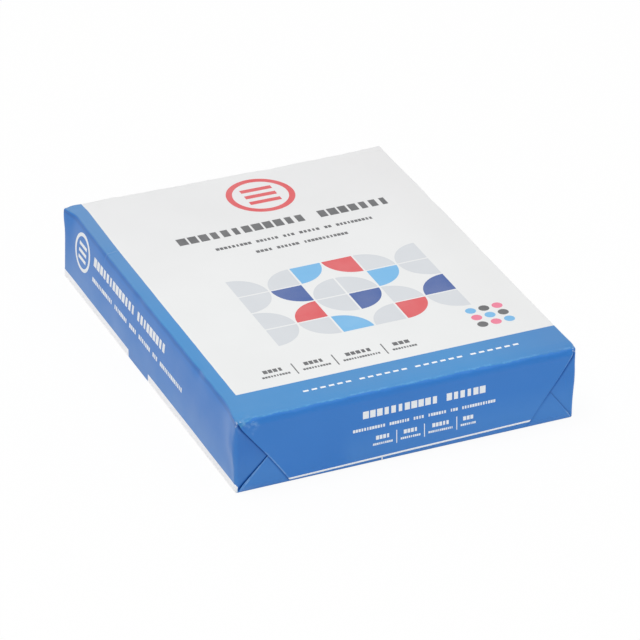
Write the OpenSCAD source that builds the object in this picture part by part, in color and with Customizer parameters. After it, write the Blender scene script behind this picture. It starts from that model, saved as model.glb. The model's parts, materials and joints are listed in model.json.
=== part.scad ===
/* [Paper stack] */
// Width of one sheet, across the ream
sheet_w = 215.9; // [140:0.1:300]
// Length of one sheet, along the ream
sheet_l = 279.4; // [200:0.1:420]
// Number of sheets in the ream
sheet_count = 500; // [400:50:600]
// Thickness of one sheet
sheet_t = 0.096; // [0.08:0.002:0.12]

/* [Wrapper] */
// Thickness of the wrapper paper
wrap_t = 0.15; // [0.1:0.05:0.3]
// Room between the stack and the wrapper at each long side
side_slack = 0.9; // [0.2:0.1:2]
// Room between the stack and the tucked paper at each end
end_slack = 0.1; // [0:0.1:1]
// Radius of the two long top edges
long_edge_r = 3; // [1:0.5:5]
// Radius of the soft roll where the top turns down over an end
roll_r = 3.5; // [2:0.5:8]
// Radius of the four upright corners
upright_r = 2.5; // [1:0.5:4]
// Radius of the edges that the ream stands on
base_r = 1.5; // [0.5:0.5:3]

/* [End folds] */
// Step from one folded layer up to the next
fold_step = 0.35; // [0.2:0.05:0.6]
// Left upright corner to the near corner of the top flap's free edge
top_run_left = 33.6; // [20:0.2:50]
// Right upright corner to the near corner of the top flap's free edge
top_run_right = 29.2; // [20:0.2:50]
// Height of the top flap's free edge at its left end
lip_left = 2.3; // [1:0.1:8]
// Height of the top flap's free edge at its right end
lip_right = 4.6; // [1:0.1:8]
// Lean of the bottom flap's left fold from upright, in degrees
low_lean_left = 44; // [30:1:52]
// Lean of the bottom flap's right fold from upright, in degrees
low_lean_right = 37; // [30:1:52]
// Width of the unprinted margin along the top flap's free edge
margin_w = 1.4; // [0.6:0.1:3]

/* [Underside seam] */
// Left side to the cut edge of the outer layer of the seam
seam_x = 92.4; // [60:0.2:110]
// Overlap of the two edges of the wrapper
seam_lap = 50; // [20:1:70]
// Distance over which the inner layer comes down to the table beside that cut edge
seam_run = 18; // [5:1:40]

/* [Colour fields] */
// Width of the blue strip on top along the left edge
strip_w = 11; // [5:0.5:25]
// Width of the blue band on top along the front end
band_w = 28.5; // [15:0.5:50]
// How far the blue of the back end comes onto the top
back_blue = 3.5; // [1:0.5:8]
// Height of the white foot along the left side
foot_h = 4.5; // [2:0.5:10]
// Length of the blue tab that crosses the white foot
tab_l = 32; // [10:1:60]
// Front end to the near side of the blue tab
tab_y = 139; // [40:1:150]
// How far the blue tab runs on under the ream
tab_under = 8; // [3:0.5:15]
// How far each printed layer stands proud of what it is printed on
ink_t = 0.05; // [0.02:0.01:0.2]

/* [Print on top] */
// Middle of the print, to the right of the ream's middle
print_shift = 11; // [-10:0.5:20]
// Outer diameter of the round emblem
emblem_d = 44; // [20:1:50]
// Back end to the emblem's middle
emblem_back = 32; // [28:0.5:45]
// Height of the title bars
title_h = 8.5; // [4:0.5:10]
// Back end to the title's middle
title_back = 69.5; // [64:0.5:85]
// Height of the small bars in the two lines under the title
line_h = 3; // [1.5:0.5:5]
// Back end to the middle of the upper line
line_back = 86.5; // [78:0.5:100]
// Spacing of the two lines
line_pitch = 12; // [6:0.5:16]
// Side of one square tile of the picture
tile = 20; // [10:0.5:24]
// Gap between the picture's tiles
tile_gap = 1.2; // [0.2:0.1:3]
// Front end to the middle of the row of figures
facts_y = 42; // [36:0.5:50]
// Height of the rules in that row
facts_h = 11; // [6:0.5:14]
// Side of the square badge of dots
badge = 26; // [12:1:32]
// Right side to the badge's middle
badge_x = 30; // [20:1:60]
// Front end to the badge's middle
badge_y = 54; // [46:1:60]
// Length of one dash on the front band
dash = 3.4; // [1.5:0.1:4]
// Front end to the middle of the dashes
dash_y = 15.8; // [8:0.2:20]

/* [Print on the front end] */
// Height of the title bars
end_title_h = 5; // [2:0.5:6]
// Top of the ream to the middle of that title
end_title_drop = 14; // [9:0.5:16]
// Height of the small bars between the title and the figures
end_line_h = 2; // [1:0.2:3]
// Base to the middle of the row of figures
end_facts_z = 15; // [11:0.5:17]
// Height of the rules in that row
end_facts_h = 9; // [5:0.5:10]

/* [Print on the left side] */
// Diameter of the side emblem
side_emblem_d = 25; // [12:1:28]
// Back end to the middle of the side emblem
side_emblem_back = 30; // [20:1:50]
// Top of the ream to the middle of the side emblem
side_emblem_drop = 16.8; // [15:0.2:20]
// Height of the title bars
side_title_h = 6; // [3:0.5:8]
// Back end to where the title and the line under it start
side_text_back = 48.5; // [44:0.5:60]
// Top of the ream to the middle of the title
side_title_drop = 12.8; // [8:0.2:15]
// Height of the small bars under the title
side_line_h = 3; // [1:0.5:4]
// Spacing of the title and the line under it
side_pitch = 12.2; // [8:0.2:16]

/* [Hidden] */
$fn = 48;

PAPER = [0.93, 0.94, 0.95];
BLUE = [0.27, 0.49, 0.76];
GREY = [0.33, 0.34, 0.36];
RED = [0.82, 0.25, 0.28];
NAVY = [0.12, 0.28, 0.58];
SKY = [0.38, 0.70, 0.90];
PINK = [0.90, 0.42, 0.52];
MIST = [0.80, 0.82, 0.85];

// Outside of the wrapper where it lies on the stack, before the folds are laid on its ends
pack_w = sheet_w + 2 * (wrap_t + side_slack);
pack_l = sheet_l + 2 * (wrap_t + end_slack);
pack_h = sheet_count * sheet_t + 2 * wrap_t;
left = -pack_w / 2;
right = pack_w / 2;
front = -pack_l / 2;
back = pack_l / 2;
// Where the cut edge of the outer layer runs, along the whole underside
seam_edge = left + seam_x;
// Long enough to cut right through the ream
through = 2 * (pack_w + pack_l);
// A printed or folded layer is this deep in the layers below it
root = 0.5;
// Flat stretch of the top that a top flap starts from, inboard of its roll
flap_start = 2;

// Bars of a row, in order from the left
TITLE = [86, 49];
UPPER_LINE = [24, 15, 8, 14, 5, 25];
LOWER_LINE = [11, 15, 30];
FACTS = [18, 18, 24, 16];
FACTS_GAP = 8;
END_TITLE = [49, 26];
END_LINE = [21, 13, 7, 12, 5, 22];
END_FACTS = [13, 13, 16, 10];
END_GAP = 5;
SIDE_TITLE = [68, 46];
SIDE_LINE = [33, 21, 11, 19, 8, 35];
SIDE_GAP = 4;
// Each picture tile's colour, and the corner that its quarter disc grows from
PICTURE = [
    [[MIST, 0], [MIST, 1], [SKY, 3], [RED, 2], [MIST, 0], [MIST, 1]],
    [[MIST, 3], [NAVY, 2], [MIST, 1], [MIST, 0], [SKY, 3], [MIST, 2]],
    [[MIST, 0], [RED, 1], [MIST, 2], [NAVY, 3], [MIST, 0], [NAVY, 1]],
    [[MIST, 3], [MIST, 2], [SKY, 0], [MIST, 1], [RED, 3], [MIST, 2]]
];
BADGE = [[SKY, GREY, PINK], [PINK, SKY, GREY], [GREY, PINK, SKY]];
DASH_GROUPS = 4;
DASHES_IN_GROUP = 6;

function sum(v, i = 0) = i < len(v) ? v[i] + sum(v, i + 1) : 0;
// Length of a row of bars with gaps between them
function row_len(bars, gap) = sum(bars) + gap * (len(bars) - 1);
// Where bar number i of a centred row starts
function row_at(bars, gap, i) =
    -row_len(bars, gap) / 2 + sum([for (k = [0:1:i - 1]) bars[k] + gap]);

// Upright outline with one radius at its top corners and another at its base
module profile(w, h, top_r) {
    for (m = [-1, 1]) {
        translate([m * (w / 2 - top_r), h - top_r]) circle(top_r);
        translate([m * (w / 2 - base_r), base_r]) circle(base_r);
    }
    translate([-w / 2, base_r]) square([w, h - base_r - top_r]);
    translate([top_r - w / 2, base_r]) square([w - 2 * top_r, h - base_r]);
    translate([base_r - w / 2, 0]) square([w - 2 * base_r, h - top_r]);
}

// Plan outline with rounded corners
module plan(w, l, r) {
    for (mx = [-1, 1], my = [-1, 1])
        translate([mx * (w / 2 - r), my * (l / 2 - r)]) circle(r);
    square([w, l - 2 * r], center = true);
    square([w - 2 * r, l], center = true);
}

// Wedge under the inner layer, where it climbs onto the outer one beside the seam's cut edge
module seam_wedge() {
    polygon([
        [seam_edge - seam_run, 0],
        [seam_edge - seam_run, -1],
        [seam_edge, -1],
        [seam_edge, wrap_t]
    ]);
}

// One layer of the wrapped pack: reach carries its ends out, and skin its top and sides.
// The rolls of all layers share their axes, so the layers part smoothly round an edge.
module pack_layer(reach = 0, skin = 0) {
    w = pack_w + 2 * skin;
    l = pack_l + 2 * (reach + skin);
    h = pack_h + skin;
    intersection() {
        rotate([90, 0, 0]) linear_extrude(through, center = true) difference() {
            profile(w, h, long_edge_r + skin);
            seam_wedge();
        }
        rotate([90, 0, 90]) linear_extrude(through, center = true)
            profile(l, h, roll_r + reach + skin);
        translate([0, 0, -through / 2]) linear_extrude(through)
            plan(w, l, upright_r + skin);
    }
}

// Box between two corners
module span(low, high) {
    translate(low) cube(high - low);
}

// Face of an end, drawn with x across the ream and y up, and cut right through outwards
module end_prism(start) {
    translate([0, -start, 0]) rotate([90, 0, 0]) linear_extrude(through) children();
}

// Face of the top flap: its two folds run in from the top corners to its free edge
module top_flap_face() {
    polygon([
        [left, pack_h],
        [left + top_run_left, lip_left],
        [right - top_run_right, lip_right],
        [right, pack_h],
        [right, pack_h + 1],
        [left, pack_h + 1]
    ]);
}

// Unprinted margin along the free edge of the top flap
module top_flap_margin() {
    polygon([
        [left, lip_left - margin_w],
        [left + top_run_left, lip_left - margin_w],
        [left + top_run_left, lip_left],
        [right - top_run_right, lip_right],
        [right, lip_right],
        [right, lip_right + margin_w],
        [right - top_run_right, lip_right + margin_w],
        [left + top_run_left, lip_left + margin_w],
        [left, lip_left + margin_w]
    ]);
}

// Face of the bottom flap: its folds run in from the base corners and pass under the top flap
module low_flap_face() {
    rise = pack_h - 2 * roll_r;
    polygon([
        [left, -1],
        [left, 0],
        [left + rise * tan(low_lean_left), rise],
        [right - rise * tan(low_lean_right), rise],
        [right, 0],
        [right, -1]
    ]);
}

// Both flaps of the front end, laid over the side tucks, which are the end of the pack itself
module end_flaps() {
    roll_start = pack_l / 2 - roll_r - flap_start;
    color(BLUE) intersection() {
        pack_layer(reach = fold_step, skin = ink_t);
        end_prism(pack_l / 2 - base_r) low_flap_face();
    }
    color(PAPER) intersection() {
        pack_layer(reach = 2 * fold_step);
        end_prism(roll_start) top_flap_face();
    }
    color(BLUE) intersection() {
        pack_layer(reach = 2 * fold_step, skin = ink_t);
        end_prism(pack_l / 2 - back_blue) difference() {
            top_flap_face();
            top_flap_margin();
        }
    }
}

// The seam's overlap where it runs up into both bottom flaps, one layer thicker than they are
module seam_ends() {
    for (m = [0, 1]) mirror([0, m, 0]) color(BLUE) intersection() {
        pack_layer(reach = fold_step + wrap_t, skin = ink_t);
        span([seam_edge, -through, 0], [seam_edge + seam_lap, front + base_r, pack_h / 2]);
    }
}

// Where the wrapper is printed blue, apart from its flaps
module blue_fields() {
    far = through;
    // Left side down to its white foot, with the strip on top
    span([-far, -far, foot_h], [left + strip_w, far, far]);
    // Tab across the white foot and a little way under
    span([-far, front + tab_y, -1], [left + tab_under, front + tab_y + tab_l, far]);
    // Band on top along the front end
    span([-far, -far, foot_h], [far, front + band_w, far]);
    // The same band down the right side
    span([right - upright_r, -far, base_r], [far, front + band_w, far]);
    // Both ends, round their upright corners
    span([-far, -far, -1], [far, front + base_r, far]);
    span([-far, back - base_r, -1], [far, far, far]);
    // Back end where it comes onto the top
    span([-far, back - back_blue, pack_h - roll_r], [far, far, far]);
}

// Flat print lying on the top, its origin at the front end and on the print's middle line
module on_top(tone, layers) {
    translate([print_shift, front, pack_h - root])
        color(tone) linear_extrude(root + layers * ink_t) children();
}

// Flat print on the front end's top flap, its origin on the base and the print's middle line
module on_end(tone, layers) {
    translate([print_shift, front - 2 * fold_step + root, 0])
        rotate([90, 0, 0]) color(tone) linear_extrude(root + layers * ink_t) children();
}

// Flat print on the left side, its origin on the base at the front end, read from the back
module on_side(tone, layers) {
    translate([left + root, front, 0])
        rotate([90, 0, -90]) color(tone) linear_extrude(root + layers * ink_t) children();
}

// A centred row of bars
module bar_row(bars, gap, h) {
    for (i = [0:len(bars) - 1])
        translate([row_at(bars, gap, i), -h / 2]) square([bars[i], h]);
}

// A centred row of cells, each a thick bar over a thin one, with upright rules between them
module facts_row(cells, gap, h) {
    rule_w = h / 16;
    for (i = [0:len(cells) - 1]) translate([row_at(cells, gap, i), 0]) {
        translate([cells[i] * 0.15, h * 0.08]) square([cells[i] * 0.7, h * 0.3]);
        translate([0, -h * 0.32]) square([cells[i], h * 0.16]);
        if (i > 0) translate([-gap / 2 - rule_w / 2, -h / 2]) square([rule_w, h]);
    }
}

// Round emblem: a ring round a short stack of three bars
module emblem(d) {
    ring = d / 11;
    difference() {
        circle(d / 2);
        circle(d / 2 - ring);
    }
    for (k = [-1, 0, 1]) translate([-d * 0.24, k * 2 * ring - ring / 2]) square([d * 0.48, ring]);
}

// One picture tile: a quarter disc that grows from one of the tile's corners
module quarter_tile(corner) {
    sides = [[-1, -1], [1, -1], [1, 1], [-1, 1]];
    intersection() {
        square(tile, center = true);
        translate(sides[corner] * tile / 2) circle(tile);
    }
}

// Picture of plain tiles in rows, midway between the lines and the row of figures
module picture() {
    rows = len(PICTURE);
    columns = len(PICTURE[0]);
    pitch = tile + tile_gap;
    middle = (pack_l - line_back - line_pitch + facts_y) / 2;
    for (j = [0:rows - 1], i = [0:columns - 1]) {
        cell = PICTURE[j][i];
        on_top(cell[0], 1)
            translate([(i - (columns - 1) / 2) * pitch, middle + ((rows - 1) / 2 - j) * pitch])
                quarter_tile(cell[1]);
    }
}

// Badge of plain dots in a square
module dot_badge() {
    count = len(BADGE);
    pitch = badge / count;
    for (j = [0:count - 1], i = [0:count - 1])
        on_top(BADGE[j][i], 1)
            translate([
                right - badge_x - print_shift + (i - (count - 1) / 2) * pitch,
                badge_y + ((count - 1) / 2 - j) * pitch
            ]) circle(pitch * 0.38);
}

// Row of short dashes in even groups, on the front band
module band_dashes() {
    pitch = dash * 1.6;
    groups = [for (g = [1:DASH_GROUPS]) DASHES_IN_GROUP * pitch];
    for (g = [0:DASH_GROUPS - 1], k = [0:DASHES_IN_GROUP - 1])
        translate([row_at(groups, dash, g) + k * pitch, dash_y - dash / 4]) square([dash, dash / 2]);
}

module print_on_top() {
    on_top(RED, 1) translate([0, pack_l - emblem_back]) emblem(emblem_d);
    on_top(GREY, 1) {
        translate([0, pack_l - title_back]) bar_row(TITLE, title_h, title_h);
        translate([0, pack_l - line_back]) bar_row(UPPER_LINE, line_h, line_h);
        translate([0, pack_l - line_back - line_pitch]) bar_row(LOWER_LINE, line_h, line_h);
        // The figures stand to the left, clear of the badge
        translate([-badge_x - badge / 4, facts_y]) facts_row(FACTS, FACTS_GAP, facts_h);
    }
    picture();
    dot_badge();
    on_top(PAPER, 2) band_dashes();
}

module print_on_end() {
    title_z = pack_h - end_title_drop;
    on_end(PAPER, 2) {
        translate([0, title_z]) bar_row(END_TITLE, end_title_h, end_title_h);
        translate([0, (title_z + end_facts_z) / 2]) bar_row(END_LINE, END_GAP / 2, end_line_h);
        translate([0, end_facts_z]) facts_row(END_FACTS, END_GAP, end_facts_h);
    }
}

module print_on_side() {
    title_z = pack_h - side_title_drop;
    start = side_text_back - pack_l;
    on_side(PAPER, 2) {
        translate([side_emblem_back - pack_l, pack_h - side_emblem_drop]) emblem(side_emblem_d);
        translate([start + row_len(SIDE_TITLE, SIDE_GAP) / 2, title_z])
            bar_row(SIDE_TITLE, SIDE_GAP, side_title_h);
        translate([start + row_len(SIDE_LINE, SIDE_GAP) / 2, title_z - side_pitch])
            bar_row(SIDE_LINE, SIDE_GAP, side_line_h);
    }
}

// The sealed ream: one closed form with its folds laid on it and its print as fields of colour
module wrapped_ream() {
    color(PAPER) pack_layer();
    color(BLUE) intersection() {
        pack_layer(skin = ink_t);
        blue_fields();
    }
    for (m = [0, 1]) mirror([0, m, 0]) end_flaps();
    seam_ends();
    print_on_top();
    print_on_end();
    print_on_side();
}

wrapped_ream();
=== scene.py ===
"""A sealed ream of copy paper: one printed sheet wound round the stack and folded at both ends.

Lengths are in millimetres until a mesh is written, and then in metres. X runs to the right along
the front end, Y from the front end to the back end, and Z up from the face the ream lies on.
"""

import json
import logging
import math
from collections.abc import Callable
from dataclasses import dataclass, field
from enum import Enum

import bmesh
import bpy
import numpy as np
from mathutils import Matrix, Vector, noise

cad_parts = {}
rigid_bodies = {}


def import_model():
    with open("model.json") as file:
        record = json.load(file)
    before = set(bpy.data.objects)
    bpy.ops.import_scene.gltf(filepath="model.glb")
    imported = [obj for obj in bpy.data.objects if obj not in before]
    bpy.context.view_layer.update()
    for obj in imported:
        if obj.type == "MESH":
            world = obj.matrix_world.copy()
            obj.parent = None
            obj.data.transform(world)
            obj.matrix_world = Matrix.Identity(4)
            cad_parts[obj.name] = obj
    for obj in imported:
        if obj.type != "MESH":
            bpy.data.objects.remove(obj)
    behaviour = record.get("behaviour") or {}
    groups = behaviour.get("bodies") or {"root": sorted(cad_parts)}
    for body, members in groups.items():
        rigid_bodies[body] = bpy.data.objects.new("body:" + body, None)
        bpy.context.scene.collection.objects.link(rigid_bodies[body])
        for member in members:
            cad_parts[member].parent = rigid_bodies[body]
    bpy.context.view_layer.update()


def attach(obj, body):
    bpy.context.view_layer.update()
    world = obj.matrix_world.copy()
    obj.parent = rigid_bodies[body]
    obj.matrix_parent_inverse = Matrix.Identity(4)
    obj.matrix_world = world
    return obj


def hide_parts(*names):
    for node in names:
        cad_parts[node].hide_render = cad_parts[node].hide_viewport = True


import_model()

LOG = logging.getLogger("ream")
MM = 0.001
# The flat sheet's map: this many millimetres fill it, and its middle is the middle of the top
FLAT_SPAN = 600.0
FLAT_MAP = "flat_sheet"

Colour = tuple[float, float, float]


def smooth(x: np.ndarray | float) -> np.ndarray | float:
    """Return x eased from 0 at 0 to 1 at 1, and held there outside."""
    t = np.clip(x, 0.0, 1.0)
    return t * t * (3.0 - 2.0 * t)


def wave(points: np.ndarray, seed: int, octaves: int = 1) -> np.ndarray:
    """Sample smooth noise.

    Args:
        points: Rows of three coordinates, already divided by the wanted wave length.
        seed: Moves the sample to another part of the noise.
        octaves: How many finer layers are added, each at half the strength.

    Returns:
        One value from about -1 to 1 for each row.
    """
    shift = Vector((seed * 17.31, seed * 9.17, seed * 5.53))
    flat = points.reshape(-1, 3)
    out = np.empty(len(flat))
    for i, p in enumerate(flat.tolist()):
        at = Vector(p) + shift
        value, gain = 0.0, 1.0
        for _ in range(octaves):
            value += gain * noise.noise(at)
            at, gain = at * 2.03, gain * 0.5
        out[i] = value
    return out.reshape(points.shape[:-1])


class Side(Enum):
    """The two ends of the ream, by the sign of Y that they face."""

    FRONT = -1
    BACK = 1


class Shading:
    """A material's node tree, with short calls for the nodes that the finishes share."""

    def __init__(self, name: str) -> None:
        """Start an empty material of that name."""
        self.material = bpy.data.materials.new(name)
        self.material.use_nodes = True
        self.tree = self.material.node_tree
        self.tree.nodes.clear()

    def node(self, kind: str, **settings: object) -> bpy.types.Node:
        """Add a node.

        Args:
            kind: The node's type name.
            settings: Properties to set on it.

        Returns:
            The new node.
        """
        made = self.tree.nodes.new(kind)
        for key, value in settings.items():
            setattr(made, key, value)
        return made

    def put(self, socket: bpy.types.NodeSocket, value: object) -> None:
        """Link a socket to another node's output, or set its value."""
        if isinstance(value, bpy.types.NodeSocket):
            self.tree.links.new(value, socket)
        else:
            socket.default_value = value

    def math(self, operation: str, *values: object, clamp: bool = False) -> bpy.types.NodeSocket:
        """Return the output of a Math node on up to three values."""
        made = self.node("ShaderNodeMath", operation=operation, use_clamp=clamp)
        for socket, value in zip(made.inputs, values):
            self.put(socket, value)
        return made.outputs[0]

    def parts(self, vector: object) -> list[bpy.types.NodeSocket]:
        """Return a vector's three parts."""
        made = self.node("ShaderNodeSeparateXYZ")
        self.put(made.inputs[0], vector)
        return list(made.outputs)

    def above(self, value: object, limit: object, blur: float = 0.15) -> bpy.types.NodeSocket:
        """Return 1 where value is over limit and 0 under it, with an edge of that blur."""
        rise = self.math("SUBTRACT", value, limit)
        return self.math("ADD", self.math("DIVIDE", rise, blur), 0.5, clamp=True)

    def noise(self, where: object, scale: float, detail: float = 2.0,
              rough: float = 0.5) -> bpy.types.NodeSocket:
        """Return a Noise node's factor at that place."""
        made = self.node("ShaderNodeTexNoise")
        self.put(made.inputs["Vector"], where)
        for name, value in (("Scale", scale), ("Detail", detail), ("Roughness", rough)):
            made.inputs[name].default_value = value
        return made.outputs["Fac"]

    def spread(self, value: object, low: float, high: float, to_low: float,
               to_high: float) -> bpy.types.NodeSocket:
        """Return value mapped from low..high to to_low..to_high, held at both ends."""
        made = self.node("ShaderNodeMapRange", clamp=True)
        for socket, number in zip(made.inputs, (value, low, high, to_low, to_high)):
            self.put(socket, number)
        return made.outputs[0]

    def mix(self, share: object, first: object, second: object,
            blend: str = "MIX") -> bpy.types.NodeSocket:
        """Return two colours mixed by share."""
        made = self.node("ShaderNodeMix", data_type="RGBA", blend_type=blend)
        colours = [s for s in made.inputs if s.type == "RGBA"]
        self.put(made.inputs[0], share)
        for socket, value in zip(colours, (first, second)):
            if not isinstance(value, bpy.types.NodeSocket):
                value = (*value, 1.0)
            self.put(socket, value)
        return next(s for s in made.outputs if s.type == "RGBA")

    def bump(self, height: object, distance: float, strength: float,
             under: object = None) -> bpy.types.NodeSocket:
        """Return a normal raised by height, laid over another normal where one is given."""
        made = self.node("ShaderNodeBump")
        made.inputs["Distance"].default_value = distance
        made.inputs["Strength"].default_value = strength
        self.put(made.inputs["Height"], height)
        if under is not None:
            self.put(made.inputs["Normal"], under)
        return made.outputs[0]

    def surface(self, **inputs: object) -> bpy.types.Material:
        """Finish with a Principled shader.

        Args:
            inputs: Its sockets, with _ for each space in their names.

        Returns:
            The material.
        """
        shader = self.node("ShaderNodeBsdfPrincipled")
        for name, value in inputs.items():
            self.put(shader.inputs[name.replace("_", " ")], value)
        out = self.node("ShaderNodeOutputMaterial")
        self.tree.links.new(shader.outputs[0], out.inputs["Surface"])
        return self.material


@dataclass(frozen=True)
class Pack:
    """The box that the sheet's middle surface is folded on, before its edges are rounded."""

    width: float = 217.9
    length: float = 279.8
    base: float = 0.06
    top: float = 48.24

    @property
    def left(self) -> float:
        """X of the left side."""
        return -self.width / 2

    @property
    def front(self) -> float:
        """Y of the front end's tucks."""
        return -self.length / 2

    @property
    def height(self) -> float:
        """Height between the two flat faces."""
        return self.top - self.base


@dataclass(frozen=True)
class Rounding:
    """Radii of the edges. Each is tighter near the corners, over a run in from them."""

    long_top: float = 1.3
    long_base: float = 0.9
    upright_left: float = 3.2
    upright_right: float = 1.6
    end_base: float = 0.9
    end_top: float = 1.8
    end_top_wander: float = 0.9
    corner: float = 1.0
    corner_run: float = 16.0

    def eased(self, radius: np.ndarray | float, from_corner: np.ndarray) -> np.ndarray:
        """Return an edge's radius at those distances from the nearer corner."""
        return self.corner + (radius - self.corner) * smooth(from_corner / self.corner_run)

    def roll(self, x: np.ndarray, pack: Pack, side: Side) -> np.ndarray:
        """Return the radius of the soft roll over an end at each x."""
        at = np.stack([x / 19.0, np.zeros_like(x), np.zeros_like(x)], axis=-1)
        wander = self.end_top_wander * wave(at, 3 if side is Side.FRONT else 4, 2)
        return self.eased(self.end_top + wander, pack.width / 2 - np.abs(x))


@dataclass(frozen=True)
class Settling:
    """How far the stack under the paper has settled out of a true box.

    Attributes:
        left_out: How far the left side stands out, and left_foot_out how much more at its foot.
        left_lean: How far the left side leans in at its top, and left_lean_power how late.
        left_corner_run: How far from the front corner it leans in fully.
        back_corner_run: The same from the back corner, where it doesn't lean at all.
        rim_in: How far its upper rim is drawn in besides, over rim_run.
        rim_wander: How much the rim wanders along the ream.
        rim_drop: How far the top slopes down to the left side, over slope_run.
        front_drop: How far it slopes down to the front end, over front_slope_run.
        front_drop_right: How much more of that there is at the right.
        right_out: How far the top's right edge stands out, halfway along the ream.
        right_out_front: How much more of that there is at the front than halfway.
        foot_out: How far the front end stands out at its foot.
        back_rise: How far the top rises at the back.
        back_left_rise: How much more it rises at the left back corner.
    """

    left_out: float = 0.75
    left_foot_out: float = 0.4
    left_lean: float = 3.4
    left_lean_power: float = 1.6
    left_corner_run: float = 26.0
    back_corner_run: float = 14.0
    rim_in: float = 0.8
    rim_run: float = 3.0
    rim_wander: float = 0.45
    rim_drop: float = 0.7
    slope_run: float = 6.0
    front_drop: float = 0.7
    front_drop_right: float = 0.5
    front_slope_run: float = 4.5
    right_out: float = 0.1
    right_out_front: float = 1.45
    foot_out: float = 1.75
    back_rise: float = -0.2
    back_left_rise: float = 1.8

    def lean(self, y: np.ndarray, up: np.ndarray, pack: Pack) -> np.ndarray:
        """Return how far the left side leans in at each height, less near the front corner."""
        half = pack.length / 2
        share = 0.3 + 0.7 * smooth((y + half) / self.left_corner_run)
        share = share * smooth((half - y) / self.back_corner_run)
        at = np.stack([np.zeros_like(y), y / 11.0, np.zeros_like(y)], axis=-1)
        rim = self.rim_in + self.rim_wander * wave(at, 15, 2)
        near_rim = np.exp(-((1.0 - up) * pack.height / self.rim_run) ** 2)
        return share * (self.left_lean * up ** self.left_lean_power + rim * near_rim)

    def move(self, p: np.ndarray, pack: Pack) -> np.ndarray:
        """Return how far each point of the box is moved along X, Y and Z."""
        x, y, z = p[..., 0], p[..., 1], p[..., 2]
        up = np.clip((z - pack.base) / pack.height, 0.0, 1.0)
        along = y / (pack.length / 2)
        from_left = np.maximum(x - pack.left, 0.0)
        across = self.lean(y, up, pack) * np.exp(-from_left / 7.0)
        across -= (self.left_out + self.left_foot_out * (1.0 - up)) * smooth((-x - 40.0) / 65.0)
        out = self.right_out - self.right_out_front * along
        across += out * smooth((x - 40.0) / 65.0) * smooth(up * 1.3)
        near_front = smooth(-along * 1.6)
        near_back = smooth((y - pack.length / 2 + 70.0) / 70.0)
        rise = (self.back_rise + self.back_left_rise * np.clip(-x / 100.0, -0.3, 1.0)) * near_back
        rise = rise - self.rim_drop * np.exp(-(from_left / self.slope_run) ** 2)
        from_front = np.maximum(y + pack.length / 2, 0.0)
        drop = self.front_drop + self.front_drop_right * smooth(x / 100.0)
        rise = rise - drop * np.exp(-(from_front / self.front_slope_run) ** 2)
        return np.stack([across, -self.foot_out * (1.0 - up) * near_front, rise * up], axis=-1)


@dataclass(frozen=True)
class Crease:
    """How a fold's line shows: in painted shade on the layer below it, and rubbed pale along its own edge.

    Attributes:
        width: Width of the painted shade near the corner and far from it.
        depth: Strength of the painted shade near the corner and far from it.
        worn: From where to where down the end the ink is rubbed off the fold.
    """

    width: tuple[float, float]
    depth: tuple[float, float]
    worn: tuple[float, float]


@dataclass(frozen=True)
class CornerFold:
    """How the sheet is folded at one corner of an end, seen from outside.

    Attributes:
        lean: Tangent of the flap's fold from upright.
        reach: Length of the flap along this fold, measured down the end.
        crease: How the fold's line shows.
        bow: How far the fold bows in from a straight line.
        lift: How far the fold stands open at its widest.
        lift_at: Where that is, measured down the end.
        lift_run: How far the opening reaches each way from there.
    """

    lean: float
    reach: float
    crease: Crease
    bow: float = 0.0
    lift: float = 0.0
    lift_at: float = 14.0
    lift_run: float = 12.0

    def run(self, down: float) -> float:
        """Return how far in from the corner the fold lies at that distance down the end."""
        return down * self.lean + self.bow * math.sin(math.pi * down / self.reach)

    def open_by(self, down: float) -> float:
        """Return how far the fold stands open at that distance down the end."""
        away = (down - self.lift_at) / self.lift_run
        return self.lift * math.exp(-away * away) * float(smooth(down / 4.0))

    @property
    def slope(self) -> float:
        """Tangent of the tuck's fold from level: the gusset between them spans 45 degrees."""
        return math.tan(math.radians(45.0) - math.atan(self.lean))


@dataclass(frozen=True)
class EndFold:
    """The four corners of a folded end, and where each layer of paper lies."""

    side: Side
    top_left: CornerFold = CornerFold(
        33.6 / 46.0, 46.0, Crease((2.0, 1.5), (1.0, 0.6), (24.0, 50.0)), 1.2, 0.55, 15.0, 12.0)
    top_right: CornerFold = CornerFold(
        29.2 / 43.7, 43.7, Crease((3.1, 2.9), (1.0, 0.25), (-2.0, 11.0)), 0.0, 0.25, 20.0, 14.0)
    base_left: CornerFold = CornerFold(
        math.tan(math.radians(44.0)), 38.5, Crease((2.2, 0.8), (1.0, 0.7), (3.0, 40.0)), 0.0,
        0.95, 4.5, 7.5)
    base_right: CornerFold = CornerFold(
        math.tan(math.radians(37.0)), 38.5, Crease((1.4, 1.0), (0.35, 0.25), (0.0, 6.0)), 0.0,
        0.25, 8.0, 8.0)
    tuck_reach: float = 45.0
    low_gusset: float = 0.3
    low_flap: float = 0.6
    top_gusset: float = 0.9
    top_flap: float = 1.2
    corner_run: float = 5.0
    lift_fade: float = 9.0

    def ramp(self, down: float) -> float:
        """Return how much of its full level a layer has at that distance from its edge."""
        return float(smooth(down / self.corner_run))


@dataclass(frozen=True)
class Seam:
    """The overlap underneath: the outer layer's cut edge and the inner layer's hidden one."""

    cut_x: float = -16.6
    inner_x: float = 33.4
    climb: float = 18.0
    step: float = 0.15
    curl: float = 3.0


@dataclass(frozen=True)
class Dent:
    """A small hollow, bulge or crease in the paper.

    Attributes:
        at: Its middle.
        spread: How far it reaches along X, Y and Z.
        height: How far it stands out, or in where it is below 0.
    """

    at: tuple[float, float, float]
    spread: tuple[float, float, float]
    height: float

    def height_at(self, p: np.ndarray) -> np.ndarray:
        """Return how far it moves each point outwards."""
        away = (p - np.array(self.at)) / np.array(self.spread)
        return self.height * np.exp(-(away ** 2).sum(axis=-1))


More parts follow.
